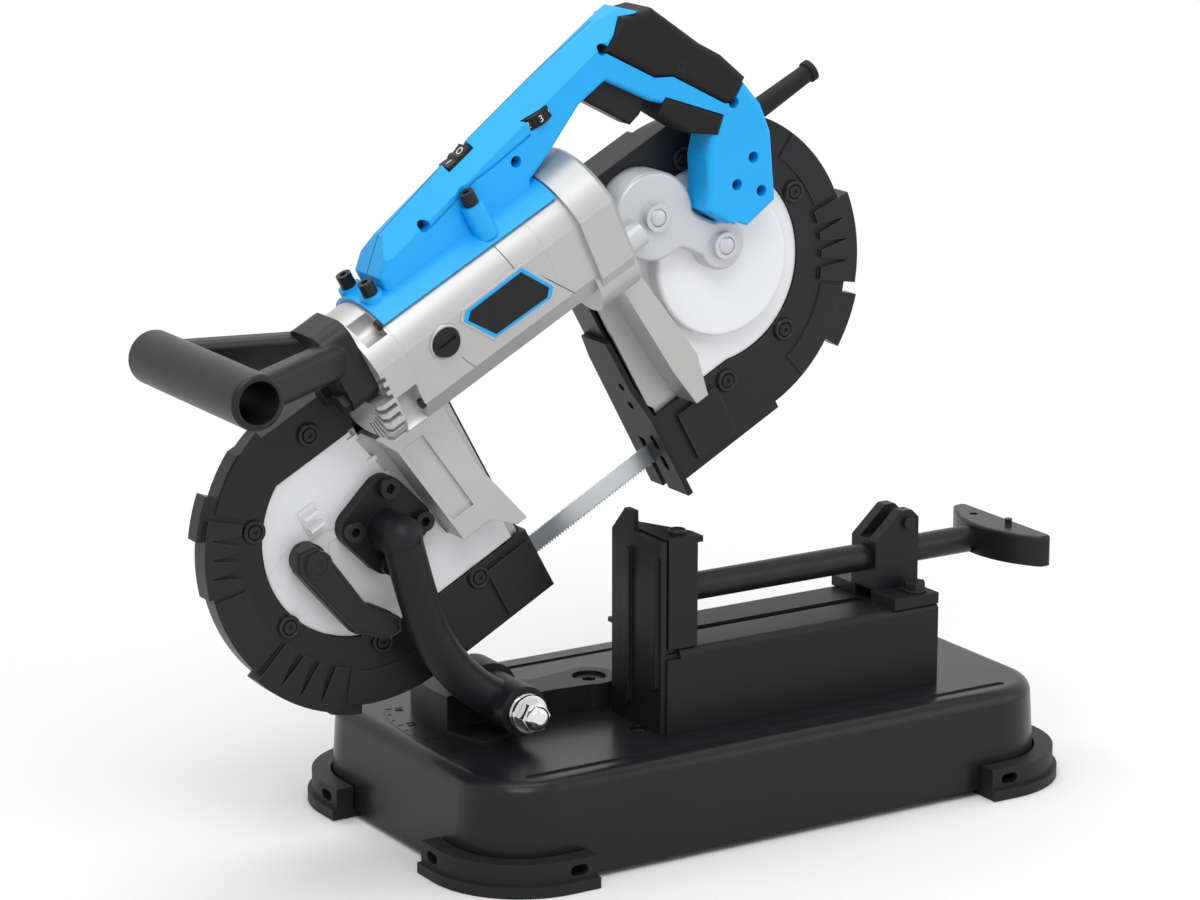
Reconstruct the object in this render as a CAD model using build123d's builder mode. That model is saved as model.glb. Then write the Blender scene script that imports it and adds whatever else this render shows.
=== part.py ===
"""Metal band saw on a bench stand: a swinging saw head, its swivel and pivot, and a vise on a pressed base.

All sizes are in millimetres, +Z is up and the origin lies on the floor under the middle of the whole saw.
"""
import os
from math import atan2, cos, degrees, radians, sin

from build123d import *

os.makedirs("parts", exist_ok=True)

# Stand
base_x = 73.1
base_length = 447.0
base_width = 252.0
pan_corner = 49.0
pan_bottom = 4.5
pan_top = 68.0
pan_draft = 3.5
pan_sheet = 2.5
foot_reach = 16.0
foot_leg = 85.0

# Vise
vise_left = 6.6
vise_length = 216.0
vise_y = -44.0
vise_width = 74.0
vise_top = 124.0
vise_sheet = 3.0
screw_z = 153.0
screw_radius = 9.25
jaw_face = 6.6
jaw_length = 60.0
jaw_top = 196.0

# Swivel and pivot
swivel_x = 2.6
swivel_y = 10.0
swivel_radius = 119.0
pivot_x = -82.1
pivot_z = 90.7
pivot_bolt_radius = 6.0
boss_radius = 16.5
boss_front = -49.0
boss_back = -7.0

# Saw head: s runs along the blade, t across it, both from the middle of the idler wheel
tilt = 28.5
head_x = -172.0
head_z = 212.5
plate_front = 3.0
frame_front = 5.5
frame_back = 9.0
guard_front = 1.0
drum_front = 13.0
lever_s = -41.0
lever_t = 8.0
lever_bore = 6.05
guard_back = 39.0
guard_wall = 3.0
wheel_front = 14.5
wheel_width = 17.0
wheel_radius = 87.0
tyre_depth = 3.0
blade_y = 23.0
blade_width = 13.0
blade_thick = 0.65
blade_gap = 0.3
throat_t = -96.5
idler_t = -3.0
drive_s = 305.0
drive_t = 2.0
throat_left = 98.0
throat_right = 213.0

# Motor, gears and handle
motor_t = 99.0
motor_y = -17.0
motor_radius = 41.0
motor_back = 12.0
motor_left = 62.0
motor_right = 176.0
gear_module = 1.6
cross_s = 269.0
cross_t = 64.0
handle_y = -17.0
counter_y = -24.0
handle_half = 18.0


def save(builder, name):
    """Label a finished piece and write its STEP file."""
    builder.part.label = name
    export_step(builder.part, f"parts/{name}.step")


def spot(s, t, y):
    """A point of the saw head in the shared frame."""
    lean = radians(tilt)
    return (head_x + s * cos(lean) - t * sin(lean), y, head_z + s * sin(lean) + t * cos(lean))


along = (cos(radians(tilt)), 0, sin(radians(tilt)))
upward = (-sin(radians(tilt)), 0, cos(radians(tilt)))


def face_at(y):
    """The head's side plane at depth y: sketch x is s, sketch y is t, extrudes come towards the user."""
    return Plane(origin=(head_x, y, head_z), x_dir=along, z_dir=(0, -1, 0))


def section_at(s, t=0.0, y=0.0):
    """A plane across the head: sketch x is +Y, sketch y is t, extrudes run along s."""
    return Plane(origin=spot(s, t, y), x_dir=(0, 1, 0), z_dir=along)


def shelf_at(s, t, y):
    """A plane lying along the head: sketch x is s, sketch y is +Y, extrudes run along t."""
    return Plane(origin=spot(s, t, y), x_dir=along, z_dir=upward)


def outline(points, plane):
    """A closed straight-sided face."""
    with BuildSketch(plane) as face:
        with BuildLine():
            Polyline(*points, close=True)
        make_face()
    return face.sketch


def disc(plane, s, t, radius):
    """A round face at (s, t) of the given plane."""
    with BuildSketch(plane) as face:
        with Locations((s, t)):
            Circle(radius)
    return face.sketch


def ring(plane, s, t, outer, inner):
    """A flat ring at (s, t) of the given plane."""
    with BuildSketch(plane) as face:
        with Locations((s, t)):
            Circle(outer)
            Circle(inner, mode=Mode.SUBTRACT)
    return face.sketch


# Base pan: one pressed sheet, open underneath, with two stiffening grooves
with BuildPart() as base_pan:
    with BuildSketch(Plane.XY.offset(pan_bottom)):
        with Locations((base_x, 0)):
            RectangleRounded(base_length, base_width, pan_corner)
    extrude(amount=pan_top - pan_bottom, taper=pan_draft)
    fillet(base_pan.faces().sort_by(Axis.Z)[-1].edges(), 9.5)
    offset(amount=-pan_sheet, openings=base_pan.faces().sort_by(Axis.Z)[0])
    with BuildSketch(Plane.XY.offset(pan_top)):
        with Locations((base_x, -105), (base_x, 99)):
            SlotOverall(base_length - 72, 6)
    extrude(amount=-1.2, mode=Mode.SUBTRACT)
    with BuildSketch(Plane.XY.offset(pan_top)):
        with Locations((swivel_x, swivel_y)):
            Circle(pivot_bolt_radius)
        with Locations((-1.4, -59)):
            Circle(6.3)
    extrude(amount=-2 * pan_sheet, mode=Mode.SUBTRACT)
save(base_pan, "base_pan")

# Corner foot: a rubber corner that wraps the pan, with a ledge under its edge
foot_flare = 7.0
foot_top = 21.0
foot_gap = 0.3
with BuildPart() as foot_back_right:
    with BuildSketch():
        with Locations((base_x, 0)):
            RectangleRounded(
                base_length + 2 * foot_reach,
                base_width + 2 * foot_reach,
                pan_corner + foot_reach,
            )
            RectangleRounded(base_length - 20, base_width - 20, pan_corner - 10, mode=Mode.SUBTRACT)
    extrude(amount=pan_bottom)
    with BuildSketch(Plane.XY.offset(pan_bottom)):
        with Locations((base_x, 0)):
            RectangleRounded(
                base_length + 2 * foot_reach,
                base_width + 2 * foot_reach,
                pan_corner + foot_reach,
            )
            RectangleRounded(
                base_length + 2 * foot_gap,
                base_width + 2 * foot_gap,
                pan_corner,
                mode=Mode.SUBTRACT,
            )
    extrude(amount=foot_flare - pan_bottom)
    with BuildSketch(Plane.XY.offset(foot_flare)):
        with Locations((base_x, 0)):
            RectangleRounded(base_length + 26, base_width + 26, pan_corner + 13)
            RectangleRounded(
                base_length + 2 * foot_gap,
                base_width + 2 * foot_gap,
                pan_corner,
                mode=Mode.SUBTRACT,
            )
    extrude(amount=foot_top - foot_flare)
    foot_corner_x = base_x + base_length / 2 + foot_reach
    foot_corner_y = base_width / 2 + foot_reach
    with BuildSketch():
        with Locations((foot_corner_x, foot_corner_y)):
            Rectangle(2 * foot_leg, 2 * foot_leg)
    extrude(amount=foot_top, mode=Mode.INTERSECT)
    with BuildSketch(Plane.XZ.offset(-foot_corner_y)):
        with Locations((foot_corner_x - foot_leg + 14, 13.5)):
            SlotOverall(13, 7)
    extrude(amount=foot_reach, mode=Mode.SUBTRACT)
    with BuildSketch(Plane.YZ.offset(foot_corner_x)):
        with Locations((foot_corner_y - foot_leg + 14, 13.5)):
            SlotOverall(13, 7)
    extrude(amount=-foot_reach, mode=Mode.SUBTRACT)
save(foot_back_right, "foot_back_right")

base_middle = Plane.YZ.offset(base_x)
with BuildPart() as foot_back_left:
    add(mirror(foot_back_right.part, about=base_middle, mode=Mode.PRIVATE))
save(foot_back_left, "foot_back_left")
with BuildPart() as foot_front_right:
    add(mirror(foot_back_right.part, about=Plane.XZ, mode=Mode.PRIVATE))
save(foot_front_right, "foot_front_right")
with BuildPart() as foot_front_left:
    add(mirror(foot_back_left.part, about=Plane.XZ, mode=Mode.PRIVATE))
save(foot_front_left, "foot_front_left")

# Vise body: a folded channel with a guide slot along its top
with BuildPart() as vise_body:
    with BuildSketch(Plane.YZ.offset(vise_left)):
        with Locations((vise_y, (pan_top + vise_top) / 2)):
            Rectangle(vise_width, vise_top - pan_top)
    extrude(amount=vise_length)
    top_edges = vise_body.faces().sort_by(Axis.Z)[-1].edges().filter_by(Axis.X)
    fillet(top_edges, 4.5)
    with BuildSketch(Plane.YZ.offset(vise_left)):
        with Locations((vise_y, (pan_top + vise_top - vise_sheet) / 2)):
            Rectangle(vise_width - 2 * vise_sheet, vise_top - vise_sheet - pan_top)
    extrude(amount=vise_length, mode=Mode.SUBTRACT)
    with BuildSketch(Plane.XY.offset(vise_top)):
        with Locations((vise_left + 92, vise_y)):
            SlotOverall(178, 8)
        with Locations((vise_left + 10, vise_y + vise_width / 2)):
            Rectangle(20, 2 * 14)
    extrude(amount=-(vise_top - pan_top), mode=Mode.SUBTRACT)
    with BuildSketch(Plane.XZ.offset(-vise_y + vise_width / 2)):
        with Locations((vise_left, vise_top)):
            Rectangle(20, 12)
    extrude(amount=-vise_sheet - 2, mode=Mode.SUBTRACT)
save(vise_body, "vise_body")

# Fixed jaw: a plate with an ear on top, a folded near flange, a foot and two pressed ribs
jaw_sheet = 4.0
jaw_near = -79.0
jaw_far = jaw_near + jaw_length
with BuildPart() as fixed_jaw:
    with BuildSketch(Plane.YZ.offset(jaw_face - jaw_sheet)):
        with BuildLine():
            Polyline(
                (jaw_near, pan_top), (jaw_far, pan_top),
                (jaw_far, jaw_top - 2), (jaw_far - 14, jaw_top + 13),
                (jaw_far - 15.5, jaw_top + 15), (jaw_far - 26, jaw_top + 15), (jaw_far - 26.5, jaw_top + 1),
                (jaw_near, jaw_top + 1), close=True,
            )
        make_face()
    extrude(amount=jaw_sheet)
    with BuildSketch(Plane.YZ.offset(jaw_face)):
        with Locations((vise_y - vise_width / 2 + vise_sheet + 2, (pan_top + vise_top - vise_sheet) / 2)):
            Rectangle(4, vise_top - vise_sheet - pan_top)
    extrude(amount=12)
    with BuildSketch(Plane.YZ.offset(jaw_face)):
        with Locations((vise_y - 4, pan_top + 2)):
            Rectangle(36, 4)
    extrude(amount=26)
    with BuildSketch(Plane.YZ.offset(jaw_face - jaw_sheet)):
        with Locations((-40, 133)):
            SlotOverall(106, 6.5, rotation=90)
        with Locations((-73, 141)):
            SlotOverall(88, 6.5, rotation=90)
    extrude(amount=-2.4)
    fillet(fixed_jaw.faces().sort_by(Axis.X)[0].edges(), 1.2)
    with BuildSketch(Plane.XY.offset(129)):
        with Locations((jaw_face - jaw_sheet + 11, jaw_far + 2.5)):
            Rectangle(22, 5)
    extrude(amount=3)
save(fixed_jaw, "fixed_jaw")

# Movable jaw: a plate, two cheeks and a top web cast round the hub of the screw
mover_face = jaw_face + 2.0
mover_bottom = vise_top + 0.8
mover_top = 195.0
with BuildPart() as movable_jaw:
    with BuildSketch(Plane.YZ.offset(mover_face)):
        with Locations((vise_y - 5, (mover_bottom + mover_top) / 2)):
            Rectangle(jaw_length, mover_top - mover_bottom)
    extrude(amount=4.5)
    with BuildSketch(Plane.XY.offset(mover_bottom)):
        with Locations((mover_face + 11, jaw_near + 2)):
            Rectangle(22, 4)
    extrude(amount=mover_top + 4 - mover_bottom)
    with BuildSketch(Plane.XY.offset(mover_top - 1)):
        with BuildLine():
            Polyline(
                (mover_face, jaw_near), (mover_face, jaw_far), (mover_face + 5, jaw_far),
                (mover_face + 26, jaw_near + 14), (mover_face + 26, jaw_near), close=True,
            )
        make_face()
    extrude(amount=4)
    with BuildSketch(Plane.YZ.offset(mover_face + 2)):
        with Locations((vise_y, screw_z)):
            Circle(15)
    extrude(amount=26)
    with BuildSketch(Plane.XY.offset(mover_bottom)):
        with Locations((mover_face + 12, vise_y)):
            Rectangle(20, 26)
    extrude(amount=screw_z - 8 - mover_bottom)
    with BuildSketch(Plane.XY.offset(mover_bottom)):
        with Locations((mover_face + 12, vise_y)):
            Rectangle(16, 7.4)
    extrude(amount=-7)
    with BuildSketch(Plane.YZ.offset(mover_face + 6)):
        with Locations((vise_y, screw_z)):
            Circle(screw_radius + 0.05)
    extrude(amount=30, mode=Mode.SUBTRACT)
    with BuildSketch(Plane.XY.offset(mover_top + 4)):
        with Locations((21.6, -68)):
            Circle(3.5)
    extrude(amount=-16, mode=Mode.SUBTRACT)
save(movable_jaw, "movable_jaw")

# Jaw pin: a capped pin through the top web
with BuildPart() as jaw_pin:
    with BuildSketch(Plane.XY.offset(mover_top + 3)):
        with Locations((21.6, -68)):
            Circle(6)
    extrude(amount=4)
    fillet(jaw_pin.faces().sort_by(Axis.Z)[-1].edges(), 1.5)
    with BuildSketch(Plane.XY.offset(mover_top + 3)):
        with Locations((21.6, -68)):
            Circle(3.5)
    extrude(amount=-12)
save(jaw_pin, "jaw_pin")

# Vise screw: a plain round bar turning in the hub and the nut bracket
screw_left = mover_face + 6.5
screw_right = 276.0
with BuildPart() as vise_screw:
    with BuildSketch(Plane.YZ.offset(screw_left)):
        with Locations((vise_y, screw_z)):
            Circle(screw_radius)
    extrude(amount=screw_right - screw_left)
    chamfer(vise_screw.edges().filter_by(GeomType.CIRCLE), 0.8)
save(vise_screw, "vise_screw")

# Screw handle: a folded sheet wing, open underneath, pushed over the end of the screw
wing_right = 301.0
wing_near = 58.5
wing_far = 41.0
wing_waist = 27.0
wing_top = 165.0
wing_bottom = 144.0
wing_sheet = 2.5
wing_tip = 9.0
wing_round = 4.0


def wing_outline(inset):
    """The wing seen from above, drawn in by an inset."""
    with BuildSketch(Plane.XY.offset(wing_bottom)) as face:
        with BuildLine():
            wing_back = Line((wing_right, vise_y - wing_near), (wing_right, vise_y + wing_far))
            wing_end = Line(wing_back @ 1, (wing_right - wing_tip, vise_y + wing_far))
            near_end = (wing_right - wing_tip, vise_y - wing_near)
            ThreePointArc(wing_end @ 1, (wing_right - wing_waist, vise_y), near_end)
            Line(near_end, wing_back @ 0)
        make_face()
        fillet(face.vertices(), wing_round)
        if inset:
            offset(amount=-inset, mode=Mode.REPLACE)
    return face.sketch


with BuildPart() as screw_handle:
    extrude(wing_outline(0), amount=wing_top - wing_bottom)
    fillet(screw_handle.faces().sort_by(Axis.Z)[-1].edges(), 2)
    extrude(wing_outline(wing_sheet), amount=wing_top - wing_bottom - wing_sheet, mode=Mode.SUBTRACT)
    with BuildSketch(Plane.YZ.offset(screw_right - 6)):
        with Locations((vise_y, screw_z)):
            Circle(screw_radius)
    extrude(amount=6, mode=Mode.SUBTRACT)
    with BuildSketch(Plane.XY.offset(wing_top)):
        with Locations((wing_right - 12, vise_y + 14)):
            Circle(3)
    extrude(amount=-2 * wing_sheet, mode=Mode.SUBTRACT)
    with BuildSketch(Plane.XY.offset(wing_top - 1)):
        with Locations((wing_right - 8, vise_y - 20)):
            Circle(2.5)
    extrude(amount=5)
save(screw_handle, "screw_handle")

# Nut bracket: a foot over the vise slot and two tall cheeks holding the screw
bracket_left = 186.6
bracket_length = 36.0
bracket_top = 185.0
with BuildPart() as nut_bracket:
    with BuildSketch(Plane.XY.offset(vise_top)):
        with Locations((bracket_left + bracket_length / 2, vise_y)):
            Rectangle(bracket_length, vise_width)
    extrude(amount=7.5)
    with BuildSketch(Plane.XZ.offset(-vise_y - 14)):
        with BuildLine():
            Polyline(
                (bracket_left, vise_top + 4), (bracket_left + 35, vise_top + 4),
                (bracket_left + 35, bracket_top - 6),
                (bracket_left + 29, bracket_top), (bracket_left + 21, bracket_top),
                (bracket_left, bracket_top - 19),
                close=True,
            )
        make_face()
    extrude(amount=28)
    fillet(nut_bracket.edges().filter_by(Axis.Y).group_by(Axis.Z)[-1], 3)
    with BuildSketch(Plane.XY.offset(bracket_top)):
        with Locations((bracket_left + bracket_length / 2, vise_y)):
            Rectangle(2 * bracket_length, 11)
    extrude(amount=-(bracket_top - screw_z - 13), mode=Mode.SUBTRACT)
    with BuildSketch(Plane.YZ.offset(bracket_left)):
        with Locations((vise_y, screw_z)):
            Circle(screw_radius + 0.05)
        with Locations((vise_y, vise_top)):
            Rectangle(18, 16)
    extrude(amount=bracket_length, mode=Mode.SUBTRACT)
    with BuildSketch(Plane.XY.offset(vise_top)):
        with Locations((bracket_left + 24, vise_y - 26), (bracket_left + 24, vise_y + 26)):
            Circle(4)
    extrude(amount=8, mode=Mode.SUBTRACT)
    with BuildSketch(Plane.XZ.offset(-vise_y + 14)):
        with Locations((bracket_left + 26, bracket_top - 9)):
            Circle(2.5)
    extrude(amount=-28, mode=Mode.SUBTRACT)
save(nut_bracket, "nut_bracket")

# Bracket bolts: two hexagon bolts through the foot and the cross screw that pulls the cheeks together
with BuildPart() as bracket_bolts:
    with BuildSketch(Plane.XY.offset(vise_top + 7.5)):
        with Locations((bracket_left + 24, vise_y - 26), (bracket_left + 24, vise_y + 26)):
            Circle(8)
    extrude(amount=1.6)
    with BuildSketch(Plane.XY.offset(vise_top + 9.1)):
        with Locations((bracket_left + 24, vise_y - 26), (bracket_left + 24, vise_y + 26)):
            RegularPolygon(6.5, 6, major_radius=False)
    extrude(amount=5.3)
    with BuildSketch(Plane.XY.offset(vise_top + 7.5)):
        with Locations((bracket_left + 24, vise_y - 26), (bracket_left + 24, vise_y + 26)):
            Circle(4)
    extrude(amount=-7.5)
    with BuildSketch(Plane.XZ.offset(-vise_y + 14)):
        with Locations((bracket_left + 26, bracket_top - 9)):
            Circle(2.5)
    extrude(amount=-28)
    with BuildSketch(Plane.XZ.offset(-vise_y + 14)):
        with Locations((bracket_left + 26, bracket_top - 9)):
            Circle(4.2)
    extrude(amount=3)
save(bracket_bolts, "bracket_bolts")

# Swivel plate: a round end on the swivel bolt, a thick block on an arc and an upright lug for the head's
# pivot
plate_high = 85.0
block_high = 94.5
flange_high = 71.5
lug_front_y = -5.0
lug_back_y = 20.0
lug_radius = 20.5


def arc_sector(inner, outer, start, stop, z):
    """A flat ring sector about the swivel bolt."""
    inner_end = (swivel_x + inner * cos(radians(stop)), swivel_y + inner * sin(radians(stop)))
    with BuildSketch(Plane.XY.offset(z)) as face:
        with BuildLine():
            rim = CenterArc((swivel_x, swivel_y), outer, start, stop - start)
            Line(rim @ 1, inner_end)
            hub = CenterArc((swivel_x, swivel_y), inner, stop, start - stop)
            Line(hub @ 1, rim @ 0)
        make_face()
    return face.sketch


with BuildPart() as swivel_plate:
    extrude(arc_sector(55, swivel_radius, 155, 205, pan_top), amount=flange_high - pan_top)
    extrude(arc_sector(66, swivel_radius, 155, 188, pan_top), amount=block_high - pan_top)
    with BuildSketch(Plane.XY.offset(pan_top)):
        with Locations((swivel_x, swivel_y)):
            Circle(19)
        with BuildLine():
            Polyline(
                (swivel_x, swivel_y + 18), (-34, 23), (-64, 42),
                (-64, -5), (-34, -4), (swivel_x, swivel_y - 18),
                close=True,
            )
        make_face()
    extrude(amount=plate_high - pan_top)
    with BuildSketch(Plane.XZ.offset(-lug_back_y)):
        with Locations((pivot_x, pivot_z)):
            Circle(lug_radius)
        with Locations((pivot_x, (pan_top + pivot_z) / 2)):
            Rectangle(2 * lug_radius + 6, pivot_z - pan_top)
    extrude(amount=lug_back_y - lug_front_y)
    with BuildSketch(Plane.XY.offset(plate_high)):
        with Locations((swivel_x, swivel_y)):
            Circle(pivot_bolt_radius + 0.05)
    extrude(amount=-30, mode=Mode.SUBTRACT)
    with BuildSketch(Plane.XY.offset(plate_high)):
        with Locations((swivel_x, swivel_y)):
            Circle(11.5)
    extrude(amount=-9, mode=Mode.SUBTRACT)
    with BuildSketch(Plane.XZ.offset(-80)):
        with Locations((pivot_x, pivot_z)):
            Circle(pivot_bolt_radius)
    extrude(amount=120, mode=Mode.SUBTRACT)
save(swivel_plate, "swivel_plate")

# Swivel bolt: a socket screw sunk in the round end
with BuildPart() as swivel_bolt:
    with BuildSketch(Plane.XY.offset(plate_high - 8.9)):
        with Locations((swivel_x, swivel_y)):
            Circle(10.5)
    extrude(amount=6.5)
    with BuildSketch(Plane.XY.offset(plate_high - 8.9)):
        with Locations((swivel_x, swivel_y)):
            Circle(pivot_bolt_radius)
    extrude(amount=-22)
    with BuildSketch(Plane.XY.offset(plate_high - 2.4)):
        with Locations((swivel_x, swivel_y)):
            RegularPolygon(5, 6)
    extrude(amount=-4.5, mode=Mode.SUBTRACT)
save(swivel_bolt, "swivel_bolt")

# Pivot bolt, its washers and the acorn nut on the near end
bolt_back = 55.0
washer_thick = 2.4
with BuildPart() as pivot_bolt:
    with BuildSketch(Plane.XZ.offset(-bolt_back)):
        with Locations((pivot_x, pivot_z)):
            Circle(pivot_bolt_radius)
    extrude(amount=bolt_back + 63)
    with BuildSketch(Plane.XZ.offset(-bolt_back - 7)):
        with Locations((pivot_x, pivot_z)):
            RegularPolygon(9.5, 6, major_radius=False)
    extrude(amount=7)
save(pivot_bolt, "pivot_bolt")

with BuildPart() as pivot_washers:
    for place in range(3):
        front = boss_front - 0.4 - place * (washer_thick + 0.1)
        with BuildSketch(Plane.XZ.offset(-front)):
            with Locations((pivot_x, pivot_z)):
                Circle(12.5 - 0.7 * (place % 2))
                Circle(pivot_bolt_radius + 0.1, mode=Mode.SUBTRACT)
        extrude(amount=washer_thick)
save(pivot_washers, "pivot_washers")

nut_back = boss_front - 0.5 - 3 * (washer_thick + 0.1)
with BuildPart() as acorn_nut:
    with BuildSketch(Plane.XZ.offset(-nut_back)):
        with Locations((pivot_x, pivot_z)):
            RegularPolygon(9.0, 6, major_radius=False)
    extrude(amount=7.5)
    with BuildSketch(Plane.XZ.offset(-nut_back + 7.5)):
        with Locations((pivot_x, pivot_z)):
            Circle(8.2)
    extrude(amount=5.5)
    fillet(acorn_nut.faces().sort_by(Axis.Y)[0].edges(), 5)
    with BuildSketch(Plane.XZ.offset(-nut_back)):
        with Locations((pivot_x, pivot_z)):
            Circle(pivot_bolt_radius)
    extrude(amount=63 + nut_back, mode=Mode.SUBTRACT)
save(acorn_nut, "acorn_nut")

# Arm: a bent tube from the square mount on the head down to the pivot boss
lean = radians(tilt)
pivot_s = (pivot_x - head_x) * cos(lean) + (pivot_z - head_z) * sin(lean)
pivot_t = -(pivot_x - head_x) * sin(lean) + (pivot_z - head_z) * cos(lean)
mount_s = 14.0
mount_t = -4.0
mount_front = plate_front - 10
mount_turn = 45 - tilt
arm_y = -27.0
arm_radius = 13.0
mount_circle = 25.0
mount_bore = 4.0


def mount_screws(y, radius):
    """The four screws' outlines in the square mount of the arm."""
    with BuildSketch(face_at(y)) as face:
        with Locations((mount_s, mount_t)):
            with PolarLocations(mount_circle, 4, start_angle=45 + mount_turn):
                Circle(radius)
    return face.sketch


with BuildPart() as arm:
    with BuildSketch(face_at(plate_front)):
        with Locations(Location((mount_s, mount_t), mount_turn)):
            RectangleRounded(53, 53, 13)
    extrude(amount=plate_front - mount_front)
    extrude(disc(face_at(mount_front), mount_s - 2, mount_t - 2, arm_radius + 1), amount=mount_front - arm_y)
    with Locations(Location(spot(mount_s - 2, mount_t - 2, arm_y))):
        Sphere(arm_radius + 1)
    with BuildLine(face_at(arm_y)) as arm_path:
        Spline((mount_s - 2, mount_t - 2), (2, -50), (-1.5, -88), (5, -121), (pivot_s, pivot_t))
    with BuildSketch(Plane(origin=arm_path.line @ 0, z_dir=arm_path.line % 0)):
        Circle(arm_radius)
    sweep(path=arm_path.line)
    extrude(disc(face_at(boss_back), pivot_s, pivot_t, boss_radius), amount=boss_back - boss_front)
    extrude(
        disc(face_at(boss_back), pivot_s, pivot_t, pivot_bolt_radius + 0.05),
        amount=boss_back - boss_front,
        mode=Mode.SUBTRACT,
    )
    extrude(mount_screws(plate_front, mount_bore), amount=plate_front - mount_front, mode=Mode.SUBTRACT)
save(arm, "arm")

# Arm screws: four socket screws through the square mount into the frame
with BuildPart() as arm_screws:
    extrude(mount_screws(frame_back, mount_bore), amount=frame_back - mount_front)
    with BuildSketch(face_at(mount_front)):
        with Locations((mount_s, mount_t)):
            with PolarLocations(mount_circle, 4, start_angle=45 + mount_turn):
                Circle(6.5)
                RegularPolygon(3.4, 6, mode=Mode.SUBTRACT)
    extrude(amount=6)
save(arm_screws, "arm_screws")

# Left plate: the white cover plate over the idler end of the frame
white_left_radius = 69.5
clip_s = -25.0
clip_t = 27.0
clip_high = 7.0
with BuildPart() as left_plate:
    with BuildSketch(face_at(frame_front)):
        Circle(white_left_radius)
        with Locations((44, -35.5)):
            Rectangle(88, 72)
        with Locations((0, 110)):
            Rectangle(300, 100, mode=Mode.SUBTRACT)
        with BuildLine():
            Polyline(
                (24.5, 62), (34.5, 19), (50.5, -40.5), (73, -40.5),
                (88, -55.5), (120, -56), (120, 80), close=True,
            )
        make_face(mode=Mode.SUBTRACT)
    extrude(amount=frame_front - plate_front)
    extrude(disc(face_at(frame_front), lever_s, lever_t, lever_bore), amount=10, mode=Mode.SUBTRACT)
    extrude(mount_screws(frame_front, mount_bore), amount=10, mode=Mode.SUBTRACT)
    with BuildSketch(face_at(plate_front)):
        with Locations((clip_s, clip_t)):
            RectangleRounded(13, 18, 2)
    extrude(amount=1.2)
    with BuildSketch(face_at(plate_front)):
        with Locations((clip_s, clip_t)):
            with GridLocations(0, 9, 1, 2):
                Rectangle(11, 2.4)
    extrude(amount=clip_high)
save(left_plate, "left_plate")

# Main frame: the silver casting that carries wheels, motor and covers
web_front = -18.4
strut_front = -21.0
post_recess = 2.5
spine_top = 53.0
output_radius = 48.6
with BuildPart() as main_frame:
    with BuildSketch(face_at(frame_back)):
        with Locations((1, -6)):
            Circle(102)
        with Locations((47, -56)):
            Rectangle(94, 108)
        with Locations((150, spine_top - 8)):
            Rectangle(200, 16)
        with Locations((299, -3)):
            Circle(99)
        with Locations((259, -54)):
            Rectangle(80, 108)
        with Locations((155, -87)):
            Rectangle(122, 248, mode=Mode.SUBTRACT)
        with Locations((110, spine_top + 40)):
            Rectangle(160, 80, mode=Mode.SUBTRACT)
        with Locations((200, spine_top + 40)):
            Rectangle(106, 80, mode=Mode.SUBTRACT)
        with Locations((0, 130)):
            Rectangle(900, 80, mode=Mode.SUBTRACT)
        with Locations((drive_s, drive_t)):
            Circle(22, mode=Mode.SUBTRACT)
        with Locations((lever_s, lever_t)):
            Circle(lever_bore, mode=Mode.SUBTRACT)
        with Locations((2, idler_t)):
            Rectangle(44, 22, mode=Mode.SUBTRACT)
        with Locations((mount_s, mount_t)):
            with PolarLocations(mount_circle, 4, start_angle=45 + mount_turn):
                Circle(mount_bore, mode=Mode.SUBTRACT)
    extrude(amount=frame_back - frame_front)
    with BuildSketch(face_at(motor_back)):
        with Locations((152, spine_top - 8)):
            Rectangle(108, 16)
    extrude(amount=motor_back - frame_front)
    left_post = ((31, 55), (40, 38), (51, -40), (73, -40), (88, -55), (96, -55), (83, -4), (80, 55))
    extrude(outline(left_post, face_at(frame_front)), amount=frame_front - web_front)
    post_panel = ((43, 38), (60, 38), (68, -24), (51, -24))
    extrude(outline(post_panel, face_at(web_front)), amount=-post_recess, mode=Mode.SUBTRACT)
    right_strut = ((239, 53), (253, -34), (247, -64), (237, -64), (232, -35), (225, 47), (226, 53))
    extrude(outline(right_strut, face_at(frame_front)), amount=frame_front - strut_front)
    extrude(disc(section_at(198, cross_t, counter_y), 0, 0, 25.7), amount=35, mode=Mode.SUBTRACT)
    extrude(disc(face_at(frame_front), cross_s, cross_t, 30), amount=60, mode=Mode.SUBTRACT)
save(main_frame, "main_frame")

# Wheel guards: a flat black ring with raised panels in front of each wheel and a smaller drum behind it
left_s = 1.0
left_t = -6.0
left_rim = 111.0
left_bottom = -118.0
left_top = 94.0
right_s = 299.0
right_t = -5.0
right_rim = 107.0
right_bottom = -117.0
right_top = 101.0
rim_back = 12.5
drum_radius = 91.5
drum_wall = 2.5


def flange_left(y, inset):
    """The outline of the idler end's front ring, drawn in by the given amount."""
    with BuildSketch(face_at(y)) as face:
        with Locations((left_s, left_t)):
            Circle(left_rim - inset)
        with Locations((throat_left / 2, (left_bottom + left_top) / 2)):
            Rectangle(throat_left, left_top - left_bottom - 2 * inset)
        with Locations((0, left_top - inset + 50)):
            Rectangle(400, 100, mode=Mode.SUBTRACT)
        with Locations((throat_left - inset + 50, 0)):
            Rectangle(100, 400, mode=Mode.SUBTRACT)
    return face.sketch


def flange_right(y, inset):
    """The outline of the drive end's front ring, drawn in by the given amount."""
    left = throat_right + inset
    with BuildSketch(face_at(y)) as face:
        with Locations((right_s, right_t)):
            Circle(right_rim - inset)
        with Locations(((left + right_s) / 2, (right_bottom + right_top) / 2)):
            Rectangle(right_s - left, right_top - right_bottom - 2 * inset)
        with Locations((right_s, right_top - inset + 50)):
            Rectangle(400, 100, mode=Mode.SUBTRACT)
        with Locations((left - 50, 0)):
            Rectangle(100, 400, mode=Mode.SUBTRACT)
    return face.sketch


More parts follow.
